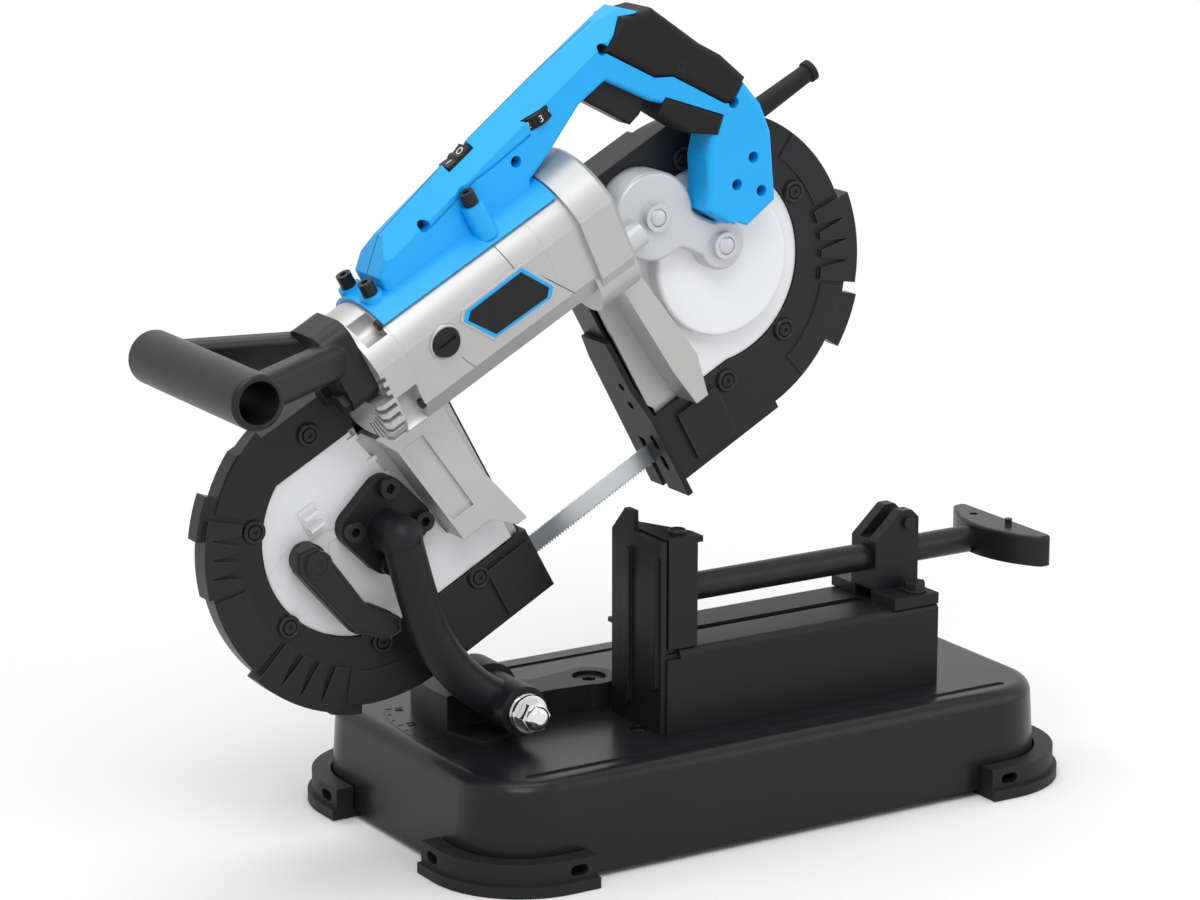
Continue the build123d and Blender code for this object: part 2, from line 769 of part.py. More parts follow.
def drum_face(y, s, t, side, inset):
    """The drum behind a ring: round the wheel, straight towards the throat, deeper where the blade dips."""
    wall = side - inset if side > s else side + inset
    middle = (s + wall) / 2
    with BuildSketch(face_at(y)) as face:
        with Locations((s, t)):
            Circle(drum_radius - inset)
        with Locations((middle, t + 1.5)):
            Rectangle(abs(wall - s), 2 * (drum_radius - inset) + 3)
        with Locations((middle, throat_t + 6)):
            Rectangle(abs(wall - s), 2 * (18 - inset))
    return face.sketch


def blade_window(s, t, high):
    """A cutter face where the blade passes the wall of a drum."""
    with BuildSketch(section_at(s, t, blade_y)) as face:
        Rectangle(18, high)
    return face.sketch


def ring_panel(y, s, t, inner, outer, start, width):
    """One raised panel of a ring, between two radial sides."""
    stop = start + width
    with BuildSketch(face_at(y)) as face:
        with BuildLine():
            rim = CenterArc((s, t), outer, start, width)
            Line(rim @ 1, (s + inner * cos(radians(stop)), t + inner * sin(radians(stop))))
            hub = CenterArc((s, t), inner, stop, -width)
            Line(hub @ 1, rim @ 0)
        make_face()
    return face.sketch


def ring_groove(y, s, t, inner, outer, angle):
    """One wedge-shaped groove, pointed at its outer end."""
    spread = radians(2.4)
    turn = radians(angle)
    points = (
        (s + outer * cos(turn), t + outer * sin(turn)),
        (s + inner * cos(turn - spread), t + inner * sin(turn - spread)),
        (s + inner * cos(turn + spread), t + inner * sin(turn + spread)),
    )
    return outline(points, face_at(y))


panel_rise = 3.0
low_rise = 1.4
panel_inner = 85.0
low_inner = 88.0
with BuildPart() as left_guard:
    extrude(flange_left(rim_back, 0), amount=rim_back - guard_front)
    extrude(flange_left(rim_back, guard_wall), amount=rim_back - frame_front, mode=Mode.SUBTRACT)
    extrude(drum_face(guard_back, 0, idler_t, throat_left, 0), amount=guard_back - rim_back)
    extrude(flange_left(rim_back + 2, 0), amount=2)
    extrude(
        drum_face(guard_back - drum_wall, 0, idler_t, throat_left, drum_wall),
        amount=guard_back - drum_wall - frame_front, mode=Mode.SUBTRACT,
    )
    with BuildSketch(face_at(frame_front)):
        Circle(70)
        with Locations((60, -36)):
            Rectangle(120, 72)
        with Locations((0, 111)):
            Rectangle(300, 100, mode=Mode.SUBTRACT)
    extrude(amount=20, mode=Mode.SUBTRACT)
    throat_cut = ((24, 62), (30, 62), (30, 130), (130, 130), (130, -72), (40, -72))
    extrude(outline(throat_cut, face_at(drum_front)), amount=30, mode=Mode.SUBTRACT)
    extrude(blade_window(throat_left - 10, -97, 26), amount=30, mode=Mode.SUBTRACT)
    extrude(blade_window(throat_left - 10, 86, 13), amount=30, mode=Mode.SUBTRACT)
    for start, width, inner in ((138, 26, panel_inner + 5.5), (197, 34, panel_inner)):
        panel_rim = left_rim + 4
        extrude(ring_panel(guard_front, left_s, left_t, inner, panel_rim, start, width), amount=panel_rise)
        extrude(
            ring_panel(rim_back, left_s, left_t, left_rim - 2, panel_rim, start, width),
            amount=rim_back - guard_front,
        )
        for share in (0.25, 0.5, 0.75):
            angle = start + share * width
            groove = ring_groove(guard_front - panel_rise, left_s, left_t, inner - 1, left_rim, angle)
            extrude(groove, amount=-panel_rise, mode=Mode.SUBTRACT)
    for start, width in ((106, 30), (166, 29), (233, 36)):
        extrude(
            ring_panel(guard_front, left_s, left_t, low_inner, left_rim - 1, start, width),
            amount=low_rise,
        )
    for start, width, reach in ((131, 14, 9), (228, 11, 6)):
        tab = ring_panel(rim_back, left_s, left_t, left_rim - 2, left_rim + reach, start, width)
        extrude(tab, amount=rim_back - guard_front)
    with BuildSketch(face_at(guard_front)):
        with Locations((78, -97)):
            RectangleRounded(36, 38, 2)
    extrude(amount=panel_rise)
save(left_guard, "left_guard")

with BuildPart() as right_guard:
    extrude(flange_right(rim_back, 0), amount=rim_back - guard_front)
    extrude(flange_right(rim_back, guard_wall), amount=rim_back - frame_front, mode=Mode.SUBTRACT)
    extrude(drum_face(guard_back, drive_s, drive_t, throat_right, 0), amount=guard_back - rim_back)
    extrude(flange_right(rim_back + 2, 0), amount=2)
    extrude(
        drum_face(guard_back - drum_wall, drive_s, drive_t, throat_right, drum_wall),
        amount=guard_back - drum_wall - frame_front, mode=Mode.SUBTRACT,
    )
    with BuildSketch(face_at(frame_front)):
        with Locations((301, 0)):
            Circle(68)
        with Locations((251, -5)):
            Rectangle(100, 120)
    extrude(amount=20, mode=Mode.SUBTRACT)
    front_cut = ((190, 130), (253, 130), (253, 55), (301, 55), (301, -65), (190, -65))
    extrude(outline(front_cut, face_at(frame_front)), amount=20, mode=Mode.SUBTRACT)
    extrude(disc(face_at(frame_front), cross_s, cross_t, 30), amount=20, mode=Mode.SUBTRACT)
    side_cut = ((190, 130), (253, 130), (253, 57), (232, 57), (232, -65), (190, -65))
    extrude(outline(side_cut, face_at(drum_front)), amount=30, mode=Mode.SUBTRACT)
    extrude(blade_window(throat_right - 5, -97, 26), amount=20, mode=Mode.SUBTRACT)
    extrude(blade_window(throat_right - 5, 88, 13), amount=20, mode=Mode.SUBTRACT)
    corner_rim = right_rim + 7
    extrude(ring_panel(guard_front, right_s, right_t, panel_inner, corner_rim, -38, 32), amount=panel_rise)
    extrude(
        ring_panel(rim_back, right_s, right_t, right_rim - 2, corner_rim, -38, 32),
        amount=rim_back - guard_front,
    )
    for angle in (-30, -22, -14):
        groove = ring_groove(guard_front - panel_rise, right_s, right_t, panel_inner - 1, right_rim, angle)
        extrude(groove, amount=-panel_rise, mode=Mode.SUBTRACT)
    for start, width in ((-4, 30), (-76, 36)):
        extrude(
            ring_panel(guard_front, right_s, right_t, low_inner, right_rim - 1, start, width),
            amount=low_rise,
        )
    tab = ring_panel(rim_back, right_s, right_t, right_rim - 2, right_rim + 12, -60, 18)
    extrude(tab, amount=rim_back - guard_front)
    with BuildSketch(face_at(guard_front)):
        with Locations((246, -92)):
            RectangleRounded(34, 38, 2)
    extrude(amount=panel_rise)
save(right_guard, "right_guard")

# Guard screws: pan-head screws through both rings into the frame
screw_circle = 76.5
head_high = 2.6


def screw_heads(y, radius, sides):
    """Every guard screw's outline: round for sides of nought, else a socket with that many sides."""
    with BuildSketch(face_at(y)) as face:
        with Locations((54, -79), (273, -76), (249, 93)):
            if sides:
                RegularPolygon(radius, sides)
            else:
                Circle(radius)
        with Locations((0, 0)):
            with PolarLocations(screw_circle, 4, start_angle=90, angular_range=216):
                if sides:
                    RegularPolygon(radius, sides)
                else:
                    Circle(radius)
        with Locations((301, 0)):
            with PolarLocations(screw_circle, 3, start_angle=-70, angular_range=225):
                if sides:
                    RegularPolygon(radius, sides)
                else:
                    Circle(radius)
    return face.sketch


with BuildPart() as guard_screws:
    extrude(screw_heads(guard_front, 4.2, 0), amount=head_high)
    extrude(screw_heads(guard_front - head_high, 1.9, 6), amount=-1.4, mode=Mode.SUBTRACT)
save(guard_screws, "guard_screws")

# Return cover: a channel round the blade on its way back behind the motor
return_t = 85.5
with BuildPart() as return_cover:
    with BuildSketch(section_at(throat_left, return_t, blade_y)):
        Rectangle(20, 15)
        Rectangle(17, 12, mode=Mode.SUBTRACT)
    extrude(amount=throat_right - throat_left)
save(return_cover, "return_cover")


def hub_plane(s, t, y):
    """A head side plane whose origin is at (s, t)."""
    return Plane(origin=spot(s, t, y), x_dir=along, z_dir=(0, -1, 0))


# Wheels: a rim, a thin web with round windows and a hub, each with a rubber tyre
wheel_back = wheel_front + wheel_width
wheel_rim = wheel_radius - tyre_depth
hub_radius = 17.0
shaft_radius = 8.0
running_gap = 0.05
with BuildPart() as idler_wheel:
    extrude(ring(hub_plane(0, idler_t, wheel_back), 0, 0, wheel_rim, wheel_rim - 7), amount=wheel_width)
    extrude(
        ring(hub_plane(0, idler_t, wheel_back), 0, 0, hub_radius, shaft_radius + running_gap),
        amount=wheel_width,
    )
    with BuildSketch(hub_plane(0, idler_t, wheel_back - 5)):
        Circle(wheel_rim - 4)
        Circle(shaft_radius + running_gap, mode=Mode.SUBTRACT)
        with PolarLocations(46, 6):
            Circle(17, mode=Mode.SUBTRACT)
    extrude(amount=7)
save(idler_wheel, "idler_wheel")

with BuildPart() as idler_tyre:
    extrude(ring(hub_plane(0, idler_t, wheel_back), 0, 0, wheel_radius, wheel_rim), amount=wheel_width)
save(idler_tyre, "idler_tyre")

with BuildPart() as drive_wheel:
    extrude(
        ring(hub_plane(drive_s, drive_t, wheel_back), 0, 0, wheel_rim, wheel_rim - 7),
        amount=wheel_width,
    )
    extrude(
        ring(hub_plane(drive_s, drive_t, wheel_back), 0, 0, hub_radius, shaft_radius),
        amount=wheel_width,
    )
    with BuildSketch(hub_plane(drive_s, drive_t, wheel_back - 5)):
        Circle(wheel_rim - 4)
        Circle(shaft_radius, mode=Mode.SUBTRACT)
        with PolarLocations(46, 6):
            Circle(17, mode=Mode.SUBTRACT)
    extrude(amount=7)
save(drive_wheel, "drive_wheel")

with BuildPart() as drive_tyre:
    extrude(ring(hub_plane(drive_s, drive_t, wheel_back), 0, 0, wheel_radius, wheel_rim), amount=wheel_width)
save(drive_tyre, "drive_tyre")

# Idler carriage and axle: a slide plate behind the frame that the lever's cam pulls to tension the blade
carriage_front = frame_back + 0.4
carriage_back = wheel_front - 1.0
cam_radius = 9.0
with BuildPart() as idler_carriage:
    with BuildSketch(face_at(carriage_back)):
        with Locations((-13, idler_t)):
            RectangleRounded(84, 46, 6)
        with Locations((lever_s + 1, lever_t)):
            Circle(cam_radius + 5, mode=Mode.SUBTRACT)
        with Locations((0, idler_t)):
            Circle(shaft_radius, mode=Mode.SUBTRACT)
    extrude(amount=carriage_back - carriage_front)
save(idler_carriage, "idler_carriage")

with BuildPart() as idler_axle:
    extrude(disc(face_at(wheel_back + 3), 0, idler_t, shaft_radius), amount=wheel_back + 3 - carriage_front)
    extrude(disc(face_at(wheel_back + 3), 0, idler_t, shaft_radius + 3), amount=2.6)
save(idler_axle, "idler_axle")

# Tension lever and its cam
lever_front = -17.0
lever_back = -6.0
with BuildPart() as tension_lever:
    with BuildSketch(face_at(lever_back)) as lever_face:
        with BuildLine():
            Polyline(
                (-55, 10), (-49, 22), (-36, 19), (-31, 2), (-26, -34), (-10, -58), (-14, -67), (-24, -66),
                (-42, -48), (-51, -10), close=True,
            )
        make_face()
        fillet(lever_face.vertices(), 3)
    extrude(amount=lever_back - lever_front)
    fillet(tension_lever.faces().sort_by(Axis.Y)[0].edges(), 3)
    extrude(disc(face_at(lever_back), lever_s, lever_t, 9), amount=lever_back - lever_front + 1.5)
    extrude(disc(face_at(plate_front - 0.4), lever_s, lever_t, 11), amount=plate_front - 0.4 - lever_back)
    extrude(disc(face_at(plate_front), lever_s, lever_t, 5), amount=16, mode=Mode.SUBTRACT)
save(tension_lever, "tension_lever")

with BuildPart() as lever_cam:
    extrude(disc(face_at(carriage_front), lever_s, lever_t, 6), amount=carriage_front - plate_front + 0.3)
    extrude(disc(face_at(plate_front - 0.3), lever_s, lever_t, 5), amount=12)
    extrude(
        disc(face_at(carriage_back), lever_s - 2, lever_t, cam_radius),
        amount=carriage_back - carriage_front,
    )
save(lever_cam, "lever_cam")

# Saw blade: a thin band round both wheels, turned edge-on between the guides
guide_left = 86.0
guide_right = 226.0
inner_loop = wheel_radius + blade_gap
blade_middle = wheel_radius + blade_gap + blade_thick / 2


def band_section(s, t, turn):
    """The band's cross-section, turned about its own length."""
    with BuildSketch(section_at(s, t, blade_y)) as face:
        Rectangle(blade_width, blade_thick, rotation=turn)
    return face.sketch


with BuildPart() as saw_blade:
    with BuildSketch(hub_plane(0, idler_t, blade_y + blade_width / 2)):
        Circle(inner_loop + blade_thick)
        Circle(inner_loop, mode=Mode.SUBTRACT)
        with Locations((150, 0)):
            Rectangle(300, 400, mode=Mode.SUBTRACT)
    extrude(amount=blade_width)
    with BuildSketch(hub_plane(drive_s, drive_t, blade_y + blade_width / 2)):
        Circle(inner_loop + blade_thick)
        Circle(inner_loop, mode=Mode.SUBTRACT)
        with Locations((-150, 0)):
            Rectangle(300, 400, mode=Mode.SUBTRACT)
    extrude(amount=blade_width)
    loft([band_section(0, idler_t + blade_middle, 0), band_section(drive_s, drive_t + blade_middle, 0)])
    left_drop = throat_t - (idler_t - blade_middle)
    left_turns = [
        band_section(guide_left * step / 4, idler_t - blade_middle + left_drop * step / 4, 22.5 * step)
        for step in range(5)
    ]
    loft(left_turns, ruled=True)
    loft([band_section(guide_left, throat_t, 90), band_section(guide_right, throat_t, 90)])
    right_drop = throat_t - (drive_t - blade_middle)
    right_turns = [
        band_section(
            drive_s - (drive_s - guide_right) * step / 4, drive_t - blade_middle + right_drop * step / 4,
            22.5 * step,
        )
        for step in range(5)
    ]
    loft(right_turns, ruled=True)
save(saw_blade, "saw_blade")

# Blade guides: one slotted block at each end of the throat, its slot open towards the teeth
guide_length = 10.0
with BuildPart() as blade_guides:
    for guide_s in (guide_left + 0.5, guide_right - guide_length - 0.5):
        with BuildSketch(section_at(guide_s, throat_t, blade_y)):
            with Locations((0, 2)):
                Rectangle(16, 20)
            with Locations((0, -4)):
                Rectangle(1.4, 26, mode=Mode.SUBTRACT)
        extrude(amount=guide_length)
save(blade_guides, "blade_guides")

# Work stop: the black plate at the drive end of the throat that the work is held against
stop_thick = 4.0
with BuildPart() as work_stop:
    with BuildSketch(section_at(throat_right - stop_thick, 0, 0)):
        with BuildLine():
            Polyline((6, -2), (36, -2), (40, -20), (42, -125), (-5, -125), (-5, -62), (4, -40), close=True)
        make_face()
        with Locations((blade_y, -105)):
            Rectangle(7, 44, mode=Mode.SUBTRACT)
        with Locations((14, -39), (14, -54)):
            Circle(3, mode=Mode.SUBTRACT)
        with Locations((6, -83), (6, -100)):
            SlotOverall(12, 6, rotation=90, mode=Mode.SUBTRACT)
    extrude(amount=stop_thick)
save(work_stop, "work_stop")

# Right plate: the white cover plate over the drive end, domed over the output gear
pinion_teeth = 31
output_teeth = 58
disc_front = -8.0
disc_radius = 50.8
lobe_bore = 27.0
with BuildPart() as right_plate:
    with BuildSketch(face_at(frame_front)):
        with Locations((301, 0)):
            Circle(67.5)
        with Locations((275, -5)):
            Rectangle(52, 119)
        with BuildLine():
            Polyline((239.5, 54), (253.5, -34), (247.5, -66), (200, -66), (200, 54), close=True)
        make_face(mode=Mode.SUBTRACT)
    extrude(amount=frame_front - plate_front)
    extrude(disc(face_at(plate_front), drive_s, drive_t, disc_radius), amount=plate_front - disc_front)
    fillet(right_plate.faces().sort_by(Axis.Y)[0].edges(), 3)
    extrude(
        disc(face_at(frame_front), drive_s, drive_t, output_radius),
        amount=frame_front - disc_front - 2.5,
        mode=Mode.SUBTRACT,
    )
    extrude(disc(face_at(frame_front), cross_s, cross_t, lobe_bore), amount=20, mode=Mode.SUBTRACT)
save(right_plate, "right_plate")

# Gear cover: a two-lobed white cover over the bevel gears, with a stub round the counter shaft
cover_front = -21.0
boss_high = 4.5
lobe_radius = 29.5
small_lobe_s = 304.0
small_lobe_t = 18.0
small_lobe_radius = 17.0
neck_middle = ((cross_s + small_lobe_s) / 2, (cross_t + small_lobe_t) / 2)
neck_turn = degrees(atan2(small_lobe_t - cross_t, small_lobe_s - cross_s))


def cover_outline(y, grow):
    """Two round lobes joined by a waisted neck."""
    with BuildSketch(face_at(y)) as face:
        with Locations((cross_s, cross_t)):
            Circle(lobe_radius + grow)
        with Locations((small_lobe_s, small_lobe_t)):
            Circle(small_lobe_radius + grow)
        with Locations(Location(neck_middle, neck_turn)):
            Rectangle(46, 24 + 2 * grow)
        fillet(face.vertices(), 6)
    return face.sketch


with BuildPart() as gear_cover:
    with BuildSketch(face_at(plate_front)):
        with Locations((cross_s, cross_t)):
            Circle(lobe_radius)
        with Locations((drive_s, drive_t)):
            Circle(disc_radius + 0.2, mode=Mode.SUBTRACT)
    extrude(amount=plate_front - disc_front)
    extrude(cover_outline(disc_front, 0), amount=disc_front - cover_front)
    fillet(gear_cover.faces().sort_by(Axis.Y)[0].edges(), 3)
    with BuildSketch(section_at(234, cross_t, counter_y)):
        Circle(9.4)
    extrude(amount=19)
    extrude(
        disc(face_at(plate_front), cross_s, cross_t, lobe_bore),
        amount=plate_front - cover_front - 2.2,
        mode=Mode.SUBTRACT,
    )
    with BuildSketch(section_at(234, cross_t, counter_y)):
        Circle(7.8)
    extrude(amount=20, mode=Mode.SUBTRACT)
    with BuildSketch(face_at(cover_front)):
        with Locations((cross_s, cross_t), (small_lobe_s, small_lobe_t)):
            Circle(9)
    extrude(amount=boss_high)
    with BuildSketch(face_at(cover_front - boss_high)):
        with Locations((cross_s, cross_t), (small_lobe_s, small_lobe_t)):
            Circle(6)
    extrude(amount=-2, mode=Mode.SUBTRACT)
save(gear_cover, "gear_cover")


def gear_face(plane, teeth, phase):
    """The side view of a spur gear: a root disc and straight-flanked teeth with some play."""
    pitch_radius = gear_module * teeth / 2
    root = pitch_radius - 1.15 * gear_module
    tooth_high = 2.05 * gear_module
    with BuildSketch(plane) as face:
        Circle(root)
        with PolarLocations(root + tooth_high / 2 - 0.15, teeth, start_angle=phase):
            Trapezoid(1.95 * gear_module, tooth_high + 0.3, 71, rotation=-90)
    return face.sketch


# Output gear and drive shaft: they turn with the drive wheel
gear_back = 2.0
gear_thick = 6.0
mesh_angle = degrees(atan2(drive_t - cross_t, drive_s - cross_s))
with BuildPart() as output_gear:
    extrude(
        gear_face(
            hub_plane(drive_s, drive_t, gear_back),
            output_teeth,
            mesh_angle + 180 + 180 / output_teeth,
        ),
        amount=gear_thick,
    )
    extrude(disc(face_at(gear_back), drive_s, drive_t, shaft_radius), amount=gear_thick, mode=Mode.SUBTRACT)
save(output_gear, "output_gear")

with BuildPart() as drive_shaft:
    extrude(
        disc(face_at(wheel_back + 2.5), drive_s, drive_t, shaft_radius),
        amount=wheel_back + 2.5 - gear_back + gear_thick,
    )
    extrude(ring(face_at(wheel_back + 2.5), drive_s, drive_t, shaft_radius + 4, shaft_radius), amount=2.5)
save(drive_shaft, "drive_shaft")

# Cross gear: the shaft between the bevel pair and the output gear
apex_reach = 24.0
with BuildPart() as cross_gear:
    extrude(gear_face(hub_plane(cross_s, cross_t, gear_back), pinion_teeth, mesh_angle), amount=gear_thick)
    extrude(disc(face_at(gear_back + 2.5), cross_s, cross_t, 6), amount=21)
    with BuildSketch(Plane(origin=spot(cross_s, cross_t, counter_y), x_dir=along, z_dir=upward)):
        with BuildLine():
            Polyline((0, 10), (0, 5.8), (18, 5.8), (apex_reach, 7.7), (apex_reach, 11), (0, 12), close=True)
        make_face()
    revolve(axis=Axis(spot(cross_s, cross_t, counter_y), (0, 1, 0)))
save(cross_gear, "cross_gear")

# Counter shaft: a spur wheel driven by the motor and the bevel pinion that turns the cross gear
counter_t = cross_t
counter_teeth = 26
motor_teeth = 18
spur_left = 206.0
spur_angle = degrees(atan2(motor_t - counter_t, motor_y - counter_y))
with BuildPart() as counter_shaft:
    extrude(
        gear_face(
            section_at(spur_left, counter_t, counter_y),
            counter_teeth,
            spur_angle + 180 / counter_teeth,
        ),
        amount=9,
    )
    with BuildSketch(section_at(196, counter_t, counter_y)):
        Circle(5)
    extrude(amount=cross_s - apex_reach - 196)
    with BuildSketch(section_at(cross_s - apex_reach, counter_t, counter_y)) as pinion_back:
        Circle(7.2)
    with BuildSketch(section_at(cross_s - 18, counter_t, counter_y)) as pinion_tip:
        Circle(5.3)
    loft()
save(counter_shaft, "counter_shaft")

# Armature: shaft, iron core, commutator, fan and the small pinion
armature_radius = 5.0
armature_left = 50.0
armature_length = 168.0
core_left = 104.0
core_length = 46.0
with BuildPart() as armature:
    with BuildSketch(section_at(armature_left, motor_t, motor_y)):
        Circle(armature_radius)
    extrude(amount=armature_length)
    with BuildSketch(section_at(core_left, motor_t, motor_y)):
        Circle(17)
        with PolarLocations(17, 12):
            Rectangle(4, 3, mode=Mode.SUBTRACT)
    extrude(amount=core_length)
    with BuildSketch(section_at(82, motor_t, motor_y)):
        Circle(12)
    extrude(amount=16)
    with BuildSketch(section_at(156, motor_t, motor_y)):
        Circle(22)
        with PolarLocations(17, 9):
            Rectangle(9, 3, mode=Mode.SUBTRACT)
    extrude(amount=8)
    extrude(gear_face(section_at(spur_left - 1, motor_t, motor_y), motor_teeth, spur_angle + 180), amount=11)
save(armature, "armature")

# Stator: the laminated field ring round the armature
with BuildPart() as stator:
    extrude(ring(section_at(core_left, motor_t, motor_y), 0, 0, 25.5, 17.6), amount=core_length)
save(stator, "stator")

# Ball bearings: one at each end of the armature shaft and one for the drive shaft in the frame
bearing_radius = 13.0
bearing_width = 7.0
left_bearing = 54.0
right_bearing = 184.0
with BuildPart() as ball_bearings:
    extrude(
        ring(face_at(wheel_front - 1.2), drive_s, drive_t, 22, shaft_radius + running_gap),
        amount=wheel_front - 1.2 - frame_front,
    )
    for bearing_s in (left_bearing, right_bearing):
        start = section_at(bearing_s, motor_t, motor_y)
        race = ring(start, 0, 0, bearing_radius, armature_radius + running_gap)
        extrude(race, amount=bearing_width)
save(ball_bearings, "ball_bearings")


def motor_face(s, radius):
    """The motor's cross-section: round on top, a leaning flat front, a lower chamfer and a flat back."""
    brow = (-0.965 * radius, 0.27 * radius)
    chin = (-0.80 * radius, -0.71 * radius)
    keel = (-0.63 * radius, -radius)
    with BuildSketch(section_at(s, motor_t, motor_y)) as face:
        Circle(radius)
        with BuildLine():
            Polyline(brow, chin, keel, (0, -radius), (0, brow[1]), close=True)
        make_face()
        with BuildLine():
            Polyline(brow, chin, keel, (-2 * radius, -radius), (-2 * radius, brow[1]), close=True)
        make_face(mode=Mode.SUBTRACT)
        with Locations((motor_back - motor_y + 50, 0)):
            Rectangle(100, 200, mode=Mode.SUBTRACT)
    return face.sketch


bay_radius = 26.0
brush_s = 89.0
brush_bore = 9.5
with BuildPart() as motor_housing:
    extrude(motor_face(motor_left, motor_radius), amount=motor_right - motor_left)
    with BuildSketch(section_at(84, spine_top, 0)):
        with Locations((2, 5)):
            Rectangle(20, 10)
    extrude(amount=80)
    extrude(
        disc(section_at(motor_left, motor_t, motor_y), 0, 0, bay_radius),
        amount=motor_right - motor_left,
        mode=Mode.SUBTRACT,
    )
    brush_hole = disc(face_at(motor_y), brush_s, motor_t, brush_bore)
    extrude(brush_hole, amount=motor_radius + 2, mode=Mode.SUBTRACT)
save(motor_housing, "motor_housing")

# End cap: closes the left end of the motor and is longer below the hub of the front handle. Air slots are
# cut in its rim, and two pockets take the long screws that hold it
cap_left = 40.0
cap_chin = 31.0
edge_bevel = 3.0
slot_left = 30.0
slot_right = 43.0
pocket_left = 44.5
pocket_right = 60.0
room_left = 46.0
with BuildPart() as end_cap:
    extrude(motor_face(cap_chin + edge_bevel, motor_radius), amount=motor_left - cap_chin - edge_bevel)
    extrude(motor_face(cap_chin + edge_bevel, motor_radius), amount=-edge_bevel, taper=40)
    hub_room = ((20, 89.4), (cap_left, 89.4), (cap_left, 150), (20, 150))
    extrude(outline(hub_room, face_at(motor_y + 60)), amount=120, mode=Mode.SUBTRACT)
    shaft_room = disc(section_at(room_left, motor_t, motor_y), 0, 0, bearing_radius)
    extrude(shaft_room, amount=motor_left - room_left, mode=Mode.SUBTRACT)
    with BuildSketch(section_at(slot_left, motor_t, motor_y)):
        with PolarLocations(motor_radius, 9, start_angle=174, angular_range=92):
            Rectangle(22, 3.4)
    extrude(amount=slot_right - slot_left, mode=Mode.SUBTRACT)
    for pocket_y, pocket_t, pocket_radius in ((-26, 34, 11), (-39, -29, 17)):
        pocket = disc(section_at(pocket_left, motor_t, motor_y), pocket_y, pocket_t, pocket_radius)
        extrude(pocket, amount=pocket_right - pocket_left, mode=Mode.SUBTRACT)
save(end_cap, "end_cap")

# Gear case: the collar at the right end of the motor, with a lower lobe for the spur wheel
collar_left = 203.0
case_right = 232.0
case_radius = 45.0
case_lobe = 25.2
with BuildPart() as gear_case:
    extrude(motor_face(motor_right, motor_radius), amount=collar_left - motor_right)
    extrude(motor_face(collar_left, case_radius), amount=case_right - collar_left - edge_bevel)
    extrude(motor_face(case_right - edge_bevel, case_radius), amount=edge_bevel, taper=40)
    with BuildSketch(section_at(spur_left - 6, counter_t, counter_y)):
        Circle(case_lobe)
        with Locations((frame_front - counter_y + 50, 0)):
            Rectangle(100, 100, mode=Mode.SUBTRACT)
    extrude(amount=case_right - spur_left + 6)
    extrude(disc(section_at(motor_right, motor_t, motor_y), 0, 0, bay_radius), amount=8, mode=Mode.SUBTRACT)
    bearing_seat = disc(section_at(right_bearing, motor_t, motor_y), 0, 0, bearing_radius)
    extrude(bearing_seat, amount=bearing_width, mode=Mode.SUBTRACT)
    pinion_room = disc(section_at(right_bearing + bearing_width, motor_t, motor_y), 0, 0, 16.6)
    extrude(pinion_room, amount=30, mode=Mode.SUBTRACT)
    extrude(disc(section_at(spur_left - 1, counter_t, counter_y), 0, 0, 23.1), amount=11, mode=Mode.SUBTRACT)
    extrude(disc(section_at(195, counter_t, counter_y), 0, 0, 5.05), amount=60, mode=Mode.SUBTRACT)
save(gear_case, "gear_case")

# Brush cap: the screwed plug over the front carbon brush, with the brush behind it
brush_front = motor_y - motor_radius + 0.5
brush_seat = motor_y - motor_radius + 5.0
brush_tip = motor_y - 26.0
with BuildPart() as brush_cap:
    extrude(disc(face_at(brush_seat), brush_s, motor_t, brush_bore), amount=brush_seat - brush_front)
    with BuildSketch(face_at(brush_front)):
        with Locations((brush_s, motor_t)):
            Rectangle(14, 2.2)
    extrude(amount=-1.6, mode=Mode.SUBTRACT)
    with BuildSketch(face_at(brush_tip)):
        with Locations((brush_s, motor_t)):
            Rectangle(7, 9)
    extrude(amount=brush_tip - brush_seat + 0.5)
save(brush_cap, "brush_cap")

# Handle shells: two blue halves from the saddle on the motor over the grip down to the gear cover
grip_front = handle_y - 19.0
grip_back = handle_y + 19.0
near_front = handle_y - handle_half
far_back = handle_y + handle_half
leg_back = -10.0
saddle_left = 61.0
saddle_length = 141.0
lug_s = 70.0
lug_top = motor_t + motor_radius + 3.2
near_lug = -12.0
far_lug = 16.0
beam_angle = 9.65
boss_s = 152.5
boss_top = 157.0
boss_y = -40.0
bolt_head = 5.0
bolt_high = 9.0


def beam_slope(side):
    """The wedge taken off a long top edge of the beam: side -1 is the near edge, side 1 the far edge."""
    edge_y = handle_y + side * handle_half
    way = radians(tilt + beam_angle)
    start = Plane(origin=spot(50, 159, edge_y), x_dir=(0, 1, 0), z_dir=(cos(way), 0, sin(way)))
    with BuildSketch(start) as face:
        with BuildLine():
            Polyline((side * 1.3, -9.9), (side * 1.3, 4), (-side * 18.8, 4), close=True)
        make_face()
    return face.sketch


def beam_groove(y):
    """The long groove in the near face of the beam."""
    with BuildSketch(face_at(y)) as face:
        with BuildLine():
            Polyline((122, 158), (151, 163.5), (164, 166.5), (178, 166.5), (196, 168), (211, 169))
        trace(line_width=1.6)
    return face.sketch


def handle_outline(y):
    """The side outline of the whole handle."""
    with BuildSketch(face_at(y)) as face:
        with BuildLine():
            Polyline(
                (78, 128), (78, 150), (97, 167), (155, 180),
                (234, 193.5), (291, 200), (308, 200), (322, 187),
                (342, 150), (352, 135), (361, 112), (366, 90), (364, 70), (346, 28), (314, 24), (297, 52),
                (306, 64), (314, 81), (326, 95), (312, 108), (303, 131), (296, 138), (274, 168), (250, 165),
                (219, 151), (198, 143), (192, 128), close=True,
            )
        make_face()
    return face.sketch


